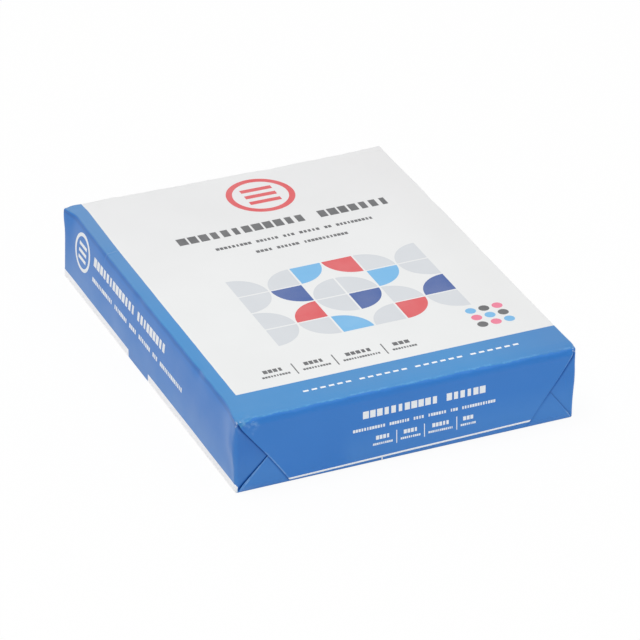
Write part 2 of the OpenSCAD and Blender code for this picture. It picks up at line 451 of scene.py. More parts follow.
DENTS = (
    # Bulge beside the front left upright edge, and a hollow under it
    Dent((-109.0, -133.0, 30.0), (5.0, 7.0, 9.0), 0.9),
    Dent((-109.0, -137.0, 12.0), (5.0, 7.0, 6.0), -0.4),
    # Crease across the blue strip, and knocks in the long edges
    Dent((-104.5, 75.0, 48.2), (5.0, 0.8, 4.0), 0.34),
    Dent((-104.0, 77.0, 48.2), (5.0, 1.4, 4.0), -0.30),
    Dent((-109.0, -74.0, 47.5), (3.5, 4.5, 4.0), -0.9),
    Dent((-109.0, 20.0, 47.0), (3.0, 6.0, 4.0), -0.4),
    Dent((109.0, 60.0, 47.0), (3.0, 8.0, 4.0), -0.4),
    # Crumple at the front left top corner, and pressed corners
    Dent((-101.0, -138.5, 46.5), (4.0, 3.0, 1.6), 0.55),
    Dent((-97.5, -139.5, 44.5), (3.0, 3.0, 1.5), -0.35),
    Dent((109.0, -139.5, 46.0), (5.0, 8.0, 9.0), 0.3),
    Dent((104.5, -139.0, 47.6), (2.5, 2.0, 1.5), -0.4),
    Dent((-107.5, 138.5, 47.6), (3.0, 3.0, 2.0), -0.45),
)


# Where the paper is crumpled, at the front left top corner
CRUMPLE = Dent((-101.0, -140.0, 45.0), (8.0, 5.0, 5.0), 1.2)


@dataclass
class WrapperSheet:
    """The wrapper: one continuous sheet, as a grid of rows along it and columns round it."""

    pack: Pack = field(default_factory=Pack)
    rounding: Rounding = field(default_factory=Rounding)
    settling: Settling = field(default_factory=Settling)
    seam: Seam = field(default_factory=Seam)
    ends: dict[Side, EndFold] = field(
        default_factory=lambda: {side: EndFold(side) for side in Side})
    thickness: float = 0.11
    corner_half: float = 1.2
    fold_columns: int = 5
    gusset_columns: int = 3

    def spaced(self, low: float, high: float, step: float, fine: tuple[float, ...]) -> np.ndarray:
        """Return places from low to high, step apart, with the fine offsets kept at both ends."""
        near = [low + f for f in fine]
        far = [high - f for f in reversed(fine)]
        start, stop = (near or [low])[-1], (far or [high])[0]
        count = max(1, round((stop - start) / step))
        middle = np.linspace(start, stop, count + 1)[1:-1]
        return np.array([low, *near, *middle, *far, high])

    def columns(self) -> dict[str, np.ndarray]:
        """Return each panel's columns: x for the flat faces, height for the two sides."""
        half, h = self.pack.width / 2, self.corner_half
        low, high = self.pack.base + h, self.pack.top - h
        fine = (0.35, 0.9, 1.8, 3.2)
        return {
            "B1": self.spaced(-half + h, self.seam.inner_x, 6.0, (0.35, 0.9))[::-1],
            "S1": self.spaced(low, high, 2.6, (0.35, 0.9, 1.8)),
            "T": self.spaced(-half + h, half - h, 1.6, fine),
            "S2": self.spaced(low, high, 2.6, (0.35, 0.9, 1.8))[::-1],
            "B2": self.spaced(self.seam.cut_x, half - h, 6.0, (0.35, 0.9))[::-1],
        }

    def tube_rows(self) -> np.ndarray:
        """Return Y of the rows between the ends."""
        near = (0.5, 1.0, 1.6, 2.2, 2.9, 3.6, 4.4, 5.2, 6.1, 7.2, 8.6, 10.5, 13.0, 16.0)
        rows = self.spaced(self.pack.front, -self.pack.front, 4.2, near)
        creased = [y for y in rows if abs(y - 76.0) > 4.0]
        return np.array(sorted([*creased, 72.5, 73.8, 74.4, 75.0, 75.6, 76.3, 77.2, 78.4, 79.5]))

    def flap_rows(self) -> np.ndarray:
        """Return how far down a flap each of its rows lies, as a share of the flap."""
        near = [0.4, 0.9, 1.4, 2.0, 2.6, 3.3, 4.1, 5.0, 6.0, 7.2, 8.6]
        rest = np.linspace(10.2, 43.6, 17)
        return np.array([*near, *rest, 44.4, 45.0]) / 45.0

    def lap_rise(self, x: np.ndarray) -> np.ndarray:
        """Return how far the inner layer of the seam stands off the outer face at each x."""
        rise = (x - (self.seam.cut_x - self.seam.climb)) / self.seam.climb
        return self.seam.step * np.clip(rise, 0.0, 1.0)

    # Each row below is built as places in space, places on the flat sheet, and how near a fold
    # and how near the sheet's cut edge each point is.

    def tube_row(self, y: float, cols: dict[str, np.ndarray]) -> np.ndarray:
        """Lay one row round the stack.

        Args:
            y: Where the row lies.
            cols: The panels' columns.

        Returns:
            One row of (x, y, z, u, v, fold, edge, layer) for each column.
        """
        pack, out = self.pack, []
        left, right = pack.left, -pack.left
        girth_low = left - pack.height

        def panel(x: np.ndarray, z: np.ndarray, u: np.ndarray, edge: np.ndarray) -> None:
            y_all = np.full_like(x, y)
            none = np.zeros_like(x)
            out.append(np.stack([x, y_all, z, u, y_all, none, edge, none], axis=-1))

        def corner(x_far: float, z_far: float, u: float, first: str, turn: int) -> None:
            count = 2 * self.fold_columns + self.gusset_columns
            t = np.linspace(-1.0, 1.0, count) * self.corner_half
            inward_x, inward_z = -math.copysign(1, x_far), (1 if z_far == pack.base else -1)
            on_flat = (t < 0) if first == "flat" else (t > 0)
            x = x_far + inward_x * np.where(on_flat, np.abs(t), 0.0)
            z = z_far + inward_z * np.where(on_flat, 0.0, np.abs(t))
            panel(x, z, u + turn * t, np.full(count, 99.0))

        far = 99.0
        b1 = cols["B1"]
        panel(b1, pack.base + self.lap_rise(b1), girth_low - (b1 - left), self.seam.inner_x - b1)
        corner(left, pack.base, girth_low, "flat", 1)
        s1 = cols["S1"]
        panel(np.full_like(s1, left), s1, left - (pack.top - s1), np.full_like(s1, far))
        corner(left, pack.top, left, "side", 1)
        top = cols["T"]
        panel(top, np.full_like(top, pack.top), top, np.full_like(top, far))
        corner(right, pack.top, right, "flat", 1)
        s2 = cols["S2"]
        panel(np.full_like(s2, right), s2, right + (pack.top - s2), np.full_like(s2, far))
        corner(right, pack.base, right + pack.height, "side", 1)
        b2 = cols["B2"]
        panel(b2, np.full_like(b2, pack.base), right + pack.height + (right - b2),
              b2 - self.seam.cut_x)
        return np.concatenate(out)

    def flap_row(self, end: EndFold, share: float, cols: dict[str, np.ndarray]) -> np.ndarray:
        """Lay one row of the folded end.

        Args:
            end: The end's folds.
            share: How far down its flaps the row lies, from 0 to 1.
            cols: The panels' columns.

        Returns:
            One row of (x, y, z, u, v, fold, edge, layer) for each column.
        """
        pack = self.pack
        left, right = pack.left, -pack.left
        sign = end.side.value
        face = sign * pack.length / 2
        deep = share * end.tuck_reach
        ramp = end.ramp(deep)
        keep = self.corner_half * math.exp(-deep / 2.5)
        out: list[np.ndarray] = []

        def lay(x: np.ndarray, z: np.ndarray, level: np.ndarray | float, u: np.ndarray,
                down: np.ndarray, edge: np.ndarray | float, layer: np.ndarray | float = 0.0,
                fold: np.ndarray | float = 0.0) -> None:
            """Add points of this row: layer is 1 on a bottom flap and 2 on a top flap."""
            none = np.zeros_like(x)
            out.append(np.stack([x, face + sign * (none + level), z, u, face + sign * down,
                                 none + fold, none + edge, none + layer], axis=-1))

        def flap_edge(corner: CornerFold, is_left: bool) -> tuple[float, float]:
            """Return x of the flap's fold in this row and how far down the end it is."""
            down = share * corner.reach
            run = keep + corner.run(down)
            return (left + run, down) if is_left else (right - run, down)

        def tuck_edge(corner: CornerFold) -> float:
            """Return how far the tuck's fold is from its corner, along the side's height."""
            return keep + deep * corner.slope

        def gusset(corner: CornerFold, is_left: bool, is_top: bool, from_flap: bool) -> None:
            """Lay the paper between a flap's fold and the tuck's fold."""
            m_x = 1 if is_left else -1
            m_z = -1 if is_top else 1
            x0 = left if is_left else right
            z0 = pack.top if is_top else pack.base
            flap_x, down = flap_edge(corner, is_left)
            run = abs(flap_x - x0)
            tuck = tuck_edge(corner)
            p_flap = np.array([run, down])
            p_tuck = np.array([deep, tuck])
            flap_level = (end.top_flap if is_top else end.low_flap) * ramp + corner.open_by(down)
            full = end.top_gusset if is_top else end.low_gusset
            mid_level = full * end.ramp(down)
            tuck_level = full * end.ramp(tuck)
            # Unit vectors in the end's face, square to each fold and away from the paper
            axis = np.array([corner.lean, 1.0]) / math.hypot(corner.lean, 1.0)
            off_flap = np.array([-axis[1], axis[0]])
            axis = np.array([1.0, corner.slope]) / math.hypot(1.0, corner.slope)
            off_tuck = np.array([axis[1], -axis[0]])
            half_turn = np.linspace(0.0, math.pi, self.fold_columns)
            r1, r2 = (flap_level - mid_level) / 2, tuck_level / 2
            places, levels, folds, shares = [], [], [], []
            for a in half_turn:
                places.append(p_flap + off_flap * r1 * math.sin(a))
                levels.append(mid_level + r1 + r1 * math.cos(a))
                folds.append(0.0)
                shares.append(0.0)
            for k in range(self.gusset_columns):
                s = (k + 1) / (self.gusset_columns + 1)
                place = p_flap * (1 - s) + p_tuck * s
                places.append(place)
                levels.append(full * end.ramp(place[1]))
                folds.append(0.0)
                shares.append(s)
            for a in half_turn:
                places.append(p_tuck + off_tuck * r2 * math.sin(a))
                levels.append(r2 + r2 * math.cos(a))
                folds.append(math.sin(a) * 0.5 + 0.5)
                shares.append(1.0)
            flat_fold, level = np.array(places), np.array(levels)
            s = np.array(shares)
            # Near its corner the paper still goes round it instead of lying flat between folds
            count = len(s)
            t = np.linspace(0.0, 2.0, count)
            over = np.clip(t, 0, 1)[:, None]
            past = np.clip(t - 1, 0, 1)[:, None]
            bend = np.array([min(run, deep), min(down, tuck)]) * 0.5
            round_path = np.where(t[:, None] <= 1, p_flap * (1 - over) + bend * over,
                                  bend * (1 - past) + p_tuck * past)
            level_path = flap_level * (1 - t / 2)
            b = float(smooth(deep / 3.5))
            place = round_path * (1 - b) + flat_fold * b
            level = level_path * (1 - b) + level * b
            x = x0 + m_x * place[:, 0]
            z = z0 + m_z * place[:, 1]
            # On the flat sheet the flap lies on one side of the corner's line and the tuck on the other
            flat_u = run * (1 - s) - tuck * s
            if is_top:
                u = (left + flat_u) if is_left else (right - flat_u)
            elif is_left:
                u = left - pack.height - flat_u
            else:
                u = right + pack.height + flat_u
            flat_down = down * (1 - s) + deep * s
            reach = corner.reach * (1 - s) + end.tuck_reach * s
            edge = (1 - share) * reach
            order = slice(None) if from_flap else slice(None, None, -1)
            shown = float(smooth((deep - 2.0) / 4.0))
            layer = (2.0 if is_top else 1.0) * (1 - s)
            lay(x[order], z[order], level[order], u[order], flat_down[order], edge[order],
                layer[order], (np.array(folds) * shown)[order])

        def share_of(values: np.ndarray) -> np.ndarray:
            """Return how far each value lies from the first to the last."""
            return (values - values[0]) / (values[-1] - values[0])

        def opening(x: np.ndarray, fold_x: float, corner: CornerFold) -> np.ndarray:
            """Return how far a flap stands off beside its open fold."""
            return corner.open_by(share * corner.reach) * np.exp(-np.abs(x - fold_x) / end.lift_fade)

        low_level = end.low_flap * ramp
        x_fold, down = flap_edge(end.base_left, True)
        b1 = cols["B1"]
        x = self.seam.inner_x + (x_fold - self.seam.inner_x) * share_of(b1)
        lay(x, np.full_like(x, pack.base + down),
            low_level - self.lap_rise(x) * ramp + opening(x, x_fold, end.base_left),
            left - pack.height - (x - left), np.full_like(x, down),
            (1 - share) * end.base_left.reach, 1.0)
        gusset(end.base_left, True, False, True)
        z_low = pack.base + tuck_edge(end.base_left)
        z_high = pack.top - tuck_edge(end.top_left)
        z = z_low + (z_high - z_low) * share_of(cols["S1"])
        x = np.full_like(z, left + deep)
        edge = (1 - share) * end.tuck_reach
        lay(x, z, 0.0, left - (pack.top - z), np.full_like(z, deep), edge)
        gusset(end.top_left, True, True, False)
        x_l, down_l = flap_edge(end.top_left, True)
        x_r, down_r = flap_edge(end.top_right, False)
        s = share_of(cols["T"])
        x, down_t = x_l + (x_r - x_l) * s, down_l + (down_r - down_l) * s
        reach = end.top_left.reach + (end.top_right.reach - end.top_left.reach) * s
        level = end.top_flap * ramp + opening(x, x_l, end.top_left) + opening(x, x_r, end.top_right)
        lay(x, pack.top - down_t, level, x, down_t, (1 - share) * reach, 2.0)
        gusset(end.top_right, False, True, True)
        z_low = pack.base + tuck_edge(end.base_right)
        z_high = pack.top - tuck_edge(end.top_right)
        z = z_high + (z_low - z_high) * share_of(cols["S2"])
        x = np.full_like(z, right - deep)
        lay(x, z, 0.0, right + (pack.top - z), np.full_like(z, deep), edge)
        gusset(end.base_right, False, False, False)
        x_fold, down = flap_edge(end.base_right, False)
        b2 = cols["B2"]
        x = x_fold + (self.seam.cut_x - x_fold) * share_of(b2)
        from_cut = x - self.seam.cut_x
        proud = self.seam.step * np.exp(-from_cut / self.seam.curl) * ramp
        lay(x, np.full_like(x, pack.base + down),
            low_level + opening(x, x_fold, end.base_right) + proud,
            right + pack.height + (right - x), np.full_like(x, down),
            np.minimum((1 - share) * end.base_right.reach, from_cut), 1.0)
        return np.concatenate(out)

    def roll_off(self, q: np.ndarray, r: np.ndarray) -> tuple[np.ndarray, np.ndarray]:
        """Round a square edge.

        Args:
            q: Distance past the edge: below 0 on the first face and above 0 on the second.
            r: Radius at each point.

        Returns:
            How far each point moves in from the second face, and in from the first.
        """
        angle = np.clip((q + r) / (2 * r), 0.0, 1.0) * math.pi / 2
        depth, drop = r - r * np.sin(angle), r - r * np.cos(angle)
        on = np.abs(q) < r
        return (np.where(on, depth - np.maximum(-q, 0), 0.0),
                np.where(on, drop - np.maximum(q, 0), 0.0))

    def rounded(self, p: np.ndarray) -> np.ndarray:
        """Return the places with every edge of the box rounded."""
        pack, rd = self.pack, self.rounding
        x, y, z = p[..., 0], p[..., 1], p[..., 2]
        move = np.zeros_like(p)
        to_end = {s: np.maximum(pack.length / 2 - s.value * y, 0.0) for s in Side}
        to_side = {m: np.maximum(pack.width / 2 - m * x, 0.0) for m in (-1, 1)}
        to_top, to_base = np.maximum(pack.top - z, 0.0), np.maximum(z - pack.base, 0.0)

        def pair(first: np.ndarray, second: np.ndarray, r: np.ndarray,
                 axis_first: int, sign_first: float, axis_second: int, sign_second: float) -> None:
            """Round one edge: first and second are the distances in from its two faces."""
            weight = np.clip(1 - np.minimum(first, second) / r, 0.0, 1.0) ** 2
            depth, drop = self.roll_off(first - second, r)
            move[..., axis_second] += sign_second * depth * weight
            move[..., axis_first] += sign_first * drop * weight

        for side in Side:
            s = side.value
            pair(to_top, to_end[side], rd.roll(x, pack, side), 2, -1, 1, -s)
            pair(to_base, to_end[side], np.full_like(x, rd.end_base), 2, 1, 1, -s)
            for m in (-1, 1):
                radius = rd.upright_left if m < 0 else rd.upright_right
                upright = rd.eased(radius, np.minimum(to_top, to_base))
                pair(to_side[m], to_end[side], upright, 0, -m, 1, -s)
        for m in (-1, 1):
            long_top = rd.eased(rd.long_top, pack.length / 2 - np.abs(y))
            pair(to_top, to_side[m], long_top, 2, -1, 0, -m)
            pair(to_base, to_side[m], np.full_like(x, rd.long_base), 2, 1, 0, -m)
        return p + move

    def grid(self) -> np.ndarray:
        """Return the whole sheet as rows by columns."""
        cols = self.columns()
        share = self.flap_rows()
        rows = [self.flap_row(self.ends[Side.FRONT], s, cols) for s in share[::-1]]
        rows += [self.tube_row(y, cols) for y in self.tube_rows()]
        rows += [self.flap_row(self.ends[Side.BACK], s, cols) for s in share]
        return np.array(rows)

    def outward(self, p: np.ndarray) -> np.ndarray:
        """Return the way out of the pack at each point, the same for every layer there."""
        pack = self.pack
        x, y, z = p[..., 0], p[..., 1], p[..., 2]

        def near(distance: np.ndarray) -> np.ndarray:
            """Return how much a face counts at that distance from it."""
            return np.exp(-np.maximum(distance, 0.0) / 1.5)

        way = np.stack([near(pack.width / 2 - np.abs(x)) * np.sign(x),
                        near(pack.length / 2 - np.abs(y)) * np.sign(y),
                        near(pack.top - z) - near(z - pack.base)], axis=-1)
        return way / np.maximum(np.linalg.norm(way, axis=-1, keepdims=True), 1e-9)

    def relief(self, p: np.ndarray) -> np.ndarray:
        """Return how far each point stands out of its smooth place, along its normal."""
        pack = self.pack
        x, y, z = p[..., 0], p[..., 1], p[..., 2]
        to_top = pack.top - z
        to_end = pack.length / 2 - np.abs(y)
        to_side = pack.width / 2 - np.abs(x)
        on_top, on_end, on_side = (np.exp(-np.maximum(d, 0.0) / 1.5) for d in (to_top, to_end, to_side))
        free = smooth((z - 1.5) / 8.0)
        out = 0.24 * wave(p / np.array([75.0, 90.0, 60.0]), 1, 2) * free
        # Ripples along the ends of the top, where the paper was pulled over
        near_end = np.exp(-np.maximum(to_end, 0.0) / 14.0) * on_top
        out += 0.15 * wave(p / np.array([30.0, 9.0, 30.0]), 5, 2) * near_end
        # Puckers that cross the soft roll over each end
        down_roll = np.minimum(to_top, 40.0) - np.minimum(to_end, 40.0)
        across = np.stack([x / 7.5, down_roll / 14.0, np.sign(y) * 3.0], axis=-1)
        on_roll = np.exp(-(down_roll / 5.5) ** 2) * np.maximum(on_top, on_end)
        out += 0.30 * wave(across, 7, 2) * on_roll
        # The ends sag a little between the edges, and their paper waves
        across = np.clip(1 - (x / 100.0) ** 2, 0.0, 1.0)
        low = np.clip(1 - ((z - 22.0) / 24.0) ** 2, 0.0, 1.0)
        out -= 0.30 * across * low * on_end
        out += 0.16 * wave(p / np.array([34.0, 20.0, 26.0]), 9, 2) * on_end * free
        # The long sides swell a little, and the upright edges wander
        swell = np.clip(1 - ((z - 24.0) / 24.0) ** 2, 0.0, 1.0) * on_side
        out += (0.35 + 0.35 * wave(p / np.array([20.0, 55.0, 40.0]), 11, 2)) * swell
        upright = np.exp(-(np.maximum(to_end, 0.0) + np.maximum(to_side, 0.0)) / 5.0)
        out += 0.45 * wave(p / np.array([12.0, 12.0, 15.0]), 13, 2) * upright * free
        for dent in DENTS:
            out += dent.height_at(p)
        return out + self.crumple(p)

    def crumple(self, p: np.ndarray) -> np.ndarray:
        """Return how far the crumpled paper at the front left top corner stands out."""
        return wave(p / 3.6, 17, 2) * CRUMPLE.height_at(p)

    def build(self) -> tuple[bpy.types.Object, bpy.types.Object]:
        """Make the sheet.

        Returns:
            The thick wrapper, and the bare middle surface that print is laid on.
        """
        data = self.grid()
        flat = data[..., 3:5]
        p = self.rounded(data[..., :3])
        # The crumple's raised crests take the fold value too, which paints them paler as a painted highlight
        data[..., 5] = np.maximum(data[..., 5], smooth(self.crumple(p) / 0.45 - 0.1))
        p = p + self.outward(p) * self.relief(p)[..., None] + self.settling.move(p, self.pack)
        p[..., 2] -= p[..., 2].min() - self.thickness / 2
        rows, cols = p.shape[:2]
        index = np.arange(rows * cols).reshape(rows, cols)
        quads = np.stack([index[:-1, :-1], index[:-1, 1:], index[1:, 1:], index[1:, :-1]], axis=-1)
        mesh = bpy.data.meshes.new("wrapper_sheet")
        mesh.from_pydata((p.reshape(-1, 3) * MM).tolist(), [], quads.reshape(-1, 4).tolist())
        uv = mesh.uv_layers.new(name=FLAT_MAP)
        at = (flat.reshape(-1, 2) / FLAT_SPAN + 0.5)[quads.reshape(-1)]
        uv.data.foreach_set("uv", at.reshape(-1))
        for k, name in enumerate(("fold", "edge", "layer")):
            values = mesh.attributes.new(name, "FLOAT", "POINT").data
            values.foreach_set("value", data[..., 5 + k].reshape(-1))
        box = mesh.attributes.new("box", "FLOAT_VECTOR", "POINT").data
        box.foreach_set("vector", data[..., :3].reshape(-1))
        mesh.polygons.foreach_set("use_smooth", [True] * len(mesh.polygons))
        mesh.update()
        guide = bpy.data.objects.new("wrapper_guide", mesh)
        bpy.context.collection.objects.link(guide)
        shell = bpy.data.objects.new("shell", mesh.copy())
        bpy.context.collection.objects.link(shell)
        solid = shell.modifiers.new("paper", "SOLIDIFY")
        solid.thickness = self.thickness * MM
        solid.offset = 0.0
        solid.use_rim = True
        wrapper = plain_copy(shell, "wrapper")
        bpy.data.objects.remove(shell)
        LOG.info("wrapper: %d rows, %d columns, %d faces", rows, cols, len(wrapper.data.polygons))
        return wrapper, guide

    def dress(self, wrapper: bpy.types.Object, finish: "PrintedPaper") -> None:
        """Give the wrapper its printed paper and put it in the place of the CAD's ream."""
        wrapper.data.materials.clear()
        wrapper.data.materials.append(finish.material(self))
        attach(wrapper, "root")
        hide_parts("wrapped_ream")


def plain_copy(source: bpy.types.Object, name: str) -> bpy.types.Object:
    """Return a new object with the plain mesh that the source's modifiers give."""
    bpy.context.view_layer.update()
    graph = bpy.context.evaluated_depsgraph_get()
    mesh = bpy.data.meshes.new_from_object(source.evaluated_get(graph), depsgraph=graph)
    mesh.name = name
    made = bpy.data.objects.new(name, mesh)
    bpy.context.collection.objects.link(made)
    return made


@dataclass(frozen=True)
class PrintedPaper:
    """Coated wrapping paper, white with fields of blue."""

    white: Colour = (0.775, 0.785, 0.79)
    blue: Colour = (0.032, 0.222, 0.520)
    # Painted shade: the darker blue where the sheet has turned down over the ends and sides
    shaded_turned_blue: Colour = (0.018, 0.176, 0.555)
    strip: float = 11.4
    band: float = 27.4
    back_line: float = 0.2
    foot: float = 5.8
    tab_start: float = 137.0
    tab_end: float = 169.0
    tab_under: float = 8.0
    # Painted highlight: the paler blue along the line where the sheet starts to turn down
    ridge_highlight_blue: Colour = (0.065, 0.285, 0.600)
    margin: float = 1.2
    # Painted light: the brighter white on the ends and sides
    lit_side_white: Colour = (0.96, 0.955, 0.96)
    seam_margin: float = 0.7
    turn_down: float = -0.5
    rim_shade: Colour = (0.80, 0.79, 0.83)
    # Strength of the painted shade beside the end flaps' folds
    crease_shade_strength: float = 0.95
    crease_shade: Colour = (0.08, 0.36, 0.56)
    # Rubbed ink along the folds, and a painted highlight on the crumple's crests
    worn_and_highlight_blue: Colour = (0.28, 0.49, 0.77)
    # Painted shade on the top's blue towards the right edge
    blue_right_shade: Colour = (0.96, 0.85, 0.91)
    # Painted light: the brighter blue low down on the ends
    lit_low_blue: Colour = (0.034, 0.200, 0.567)
    # Painted shade on the front end's left tuck
    tuck_shade: Colour = (0.80, 0.88, 0.93)
    # Painted shade on the top's white towards the back end and the right edge
    white_back_shade: Colour = (0.957, 0.950, 0.955)
    white_right_shade: Colour = (0.975, 0.970, 0.970)
    back_blue: Colour = (0.072, 0.222, 0.480)
    # How much further down the turned paper's painted shade starts at the front left corner, leaving a painted light
    # patch
    front_left_patch: float = 5.0
    roughness: float = 0.34

    def blue_share(self, sh: Shading, sheet: WrapperSheet, u: object, v: object,
                   edge: object) -> bpy.types.NodeSocket:
        """Return 1 where the flat sheet is printed blue."""
        pack = sheet.pack
        left, right, front = pack.left, -pack.left, pack.front
        low_left = left - pack.height
        past_foot = sh.above(u, low_left + self.foot)
        before_strip = sh.above(left + self.strip, u)
        long_left = sh.math("MULTIPLY", past_foot, before_strip)
        in_front = sh.above(front + self.band, v)
        band = sh.math("MULTIPLY", sh.math("MULTIPLY", in_front, past_foot),
                       sh.above(right + pack.height - 0.8, u))
        at_foot = sh.math("MULTIPLY", sh.above(u, low_left - 0.3),
                          sh.above(low_left + self.foot - 1.0, u, 1.0))
        ends = sh.math("MAXIMUM", sh.above(sh.math("MULTIPLY_ADD", at_foot, -1.2, front - 0.2), v),
                       sh.above(v, -front + 0.2))
        back = sh.math("MULTIPLY", sh.above(v, -front - self.back_line),
                       sh.math("MULTIPLY", sh.above(u, left), sh.above(right, u)))
        tab = sh.math("MULTIPLY", sh.above(v, front + self.tab_start),
                      sh.above(front + self.tab_end, v))
        tab = sh.math("MULTIPLY", tab, sh.math("MULTIPLY", sh.above(u, low_left - self.tab_under),
                                               before_strip))
        found = long_left
        for more in (band, ends, back, tab):
            found = sh.math("MAXIMUM", found, more)
        on_top_flap = sh.math("MULTIPLY", sh.above(u, left + 20), sh.above(right - 20, u))
        margin = sh.math("MULTIPLY", on_top_flap, sh.above(self.margin, edge, 0.1))
        at_seam = sh.math("MULTIPLY", sh.above(u, right + pack.height), sh.above(self.seam_margin, edge, 0.1))
        return sh.math("MULTIPLY", found, sh.math("SUBTRACT", 1.0, sh.math("MAXIMUM", margin, at_seam)))

    def creases(self, sh: Shading, end: EndFold, pack: Pack, box: object,
                layer: object) -> tuple[bpy.types.NodeSocket, bpy.types.NodeSocket]:
        """Find the lines of the end flaps' folds.

        Args:
            sh: The node tree.
            end: The end's folds.
            pack: The box that the sheet is folded on.
            box: Place on that box.
            layer: 2 on a top flap, 1 on a bottom flap and 0 elsewhere.

        Returns:
            How deep each point is in a fold's painted shade, and how worn it is beside a fold.
        """
        x, _, z = sh.parts(box)
        shade, worn = 0.0, 0.0
        on_top_flap = sh.above(layer, 1.5, 0.4)
        on_low_flap = sh.math("SUBTRACT", sh.above(layer, 0.5, 0.4), on_top_flap)
        for corner, is_left, is_top in (
                (end.top_left, True, True), (end.top_right, False, True),
                (end.base_left, True, False), (end.base_right, False, False)):
            crease = corner.crease
            down = sh.math("SUBTRACT", pack.top, z) if is_top else sh.math("SUBTRACT", z, pack.base)
            run = sh.math("SUBTRACT", x, pack.left) if is_left else sh.math("SUBTRACT", -pack.left, x)
            off = sh.math("MULTIPLY_ADD", down, corner.lean, sh.math("MULTIPLY", run, -1.0))
            bow = sh.math("SINE", sh.math("MULTIPLY", down, math.pi / corner.reach))
            off = sh.math("MULTIPLY_ADD", bow, corner.bow, off)
            off = sh.math("DIVIDE", off, math.hypot(corner.lean, 1.0))
            width = sh.spread(down, 3.0, 24.0, *crease.width)
            near = sh.spread(sh.math("DIVIDE", off, width), 0.35, 1.0, 1.0, 0.0)
            near = sh.math("MULTIPLY", near, sh.spread(down, 20.0, 34.0, *crease.depth))
            flap = on_top_flap if is_top else on_low_flap
            below = sh.math("MULTIPLY", sh.above(off, -0.3, 0.3), sh.above(0.5, flap, 0.4))
            if not is_top:
                below = sh.math("MULTIPLY", below, sh.above(0.5, on_top_flap, 0.4))
            shade = sh.math("MAXIMUM", shade, sh.math("MULTIPLY", near, below))
            first, last = crease.worn
            span = sh.math("MULTIPLY", sh.above(down, first, 3.0), sh.above(last, down, 3.0))
            beside = sh.math("MULTIPLY", sh.above(off, -0.55, 0.3), flap)
            worn = sh.math("MAXIMUM", worn, sh.math("MULTIPLY", span, beside))
        return shade, worn

    def scuffs(self, sh: Shading, pack: Pack, place: object) -> bpy.types.NodeSocket:
        """Return 1 where the ink is rubbed off, near the corners of the ream."""
        x, y, z = sh.parts(place)
        away = 0.0
        for socket, half in ((x, pack.width / 2), (y, pack.length / 2)):
            away = sh.math("ADD", away, sh.math("SUBTRACT", half, sh.math("ABSOLUTE", socket)))
        away = sh.math("ADD", away, sh.math("MINIMUM", z, sh.math("SUBTRACT", pack.top, z)))
        near = sh.spread(away, 0.5, 7.0, 0.54, 0.16)
        return sh.above(near, sh.noise(place, 0.42, 4.0, 0.65), 0.06)

    def material(self, sheet: WrapperSheet) -> bpy.types.Material:
        """Return the printed paper for that sheet."""
        sh = Shading("printed_wrapping_paper")
        place = sh.node("ShaderNodeTexCoord").outputs["Object"]
        flat = sh.node("ShaderNodeUVMap", uv_map=FLAT_MAP).outputs["UV"]
        across, along, _ = sh.parts(flat)
        fold, edge, layer = (sh.node("ShaderNodeAttribute", attribute_name=name).outputs["Fac"]
                             for name in ("fold", "edge", "layer"))
        box = sh.node("ShaderNodeAttribute", attribute_name="box").outputs["Vector"]
        ragged = sh.math("MULTIPLY", sh.math("SUBTRACT", sh.noise(place, 900.0), 0.5), 0.25)
        u, v = (sh.math("ADD", sh.math("MULTIPLY_ADD", way, FLAT_SPAN, -FLAT_SPAN / 2), ragged)
                for way in (across, along))
        blue = self.blue_share(sh, sheet, u, v, edge)
        cloud = sh.noise(place, 18.0, 3.0)
        fibre = sh.noise(place, 1400.0, 3.0, 0.6)
        white = sh.mix(sh.spread(cloud, 0.3, 0.7, 0.0, 1.0), self.white,
                       tuple(c * 0.97 for c in self.white))
        # Where the paper turns down over the ends and sides, its blue is painted darker as painted shade
        past_end = sh.math("ADD", sh.math("ABSOLUTE", v), sheet.pack.front)
        ragged_turn = sh.math("MULTIPLY_ADD", sh.noise(place, 110.0, 6.0, 0.72), 5.6, -2.8)
        x, _, z = sh.parts(box)
        # At the front left corner that painted shade starts further down, so the top's lighter blue paints a light
        # patch over the crumpled corner
        at_left = sh.spread(x, sheet.pack.left, sheet.pack.left + 13.0, -self.front_left_patch, 0.0)
        past_turn = sh.math("ADD", sh.math("ADD", past_end, ragged_turn), at_left)
        past_side = sh.math("ADD", sh.math("ABSOLUTE", u), sheet.pack.left)
        turned = sh.math("MAXIMUM", sh.above(past_turn, self.turn_down, 0.3),
                         sh.above(past_side, 0.0, 0.6))
        # Painted highlight: flecks of paler blue along the line where the paper starts to turn down
        ridge_highlight = sh.math("ABSOLUTE", sh.math("ADD", past_turn, 0.9 - self.turn_down))
        ridge_highlight = sh.math("MULTIPLY", sh.spread(ridge_highlight, 0.2, 1.0, 1.0, 0.0),
                        sh.spread(sh.noise(place, 190.0, 4.0, 0.7), 0.45, 0.60, 0.0, 1.0))
        # Painted shade: the top's colours are darker towards the right edge, and its white towards the back end,
        # where the ink also turns greyer
        rightward = sh.spread(u, 50.0, 98.0, 0.0, 1.0)
        backward = sh.spread(v, -20.0, 110.0, 0.0, 1.0)
        ink = sh.mix(backward, self.blue, self.back_blue)
        ink = sh.mix(ridge_highlight, ink, self.ridge_highlight_blue)
        ink = sh.mix(rightward, ink, self.blue_right_shade, "MULTIPLY")
        white = sh.mix(backward, white, self.white_back_shade, "MULTIPLY")
        white = sh.mix(rightward, white, self.white_right_shade, "MULTIPLY")
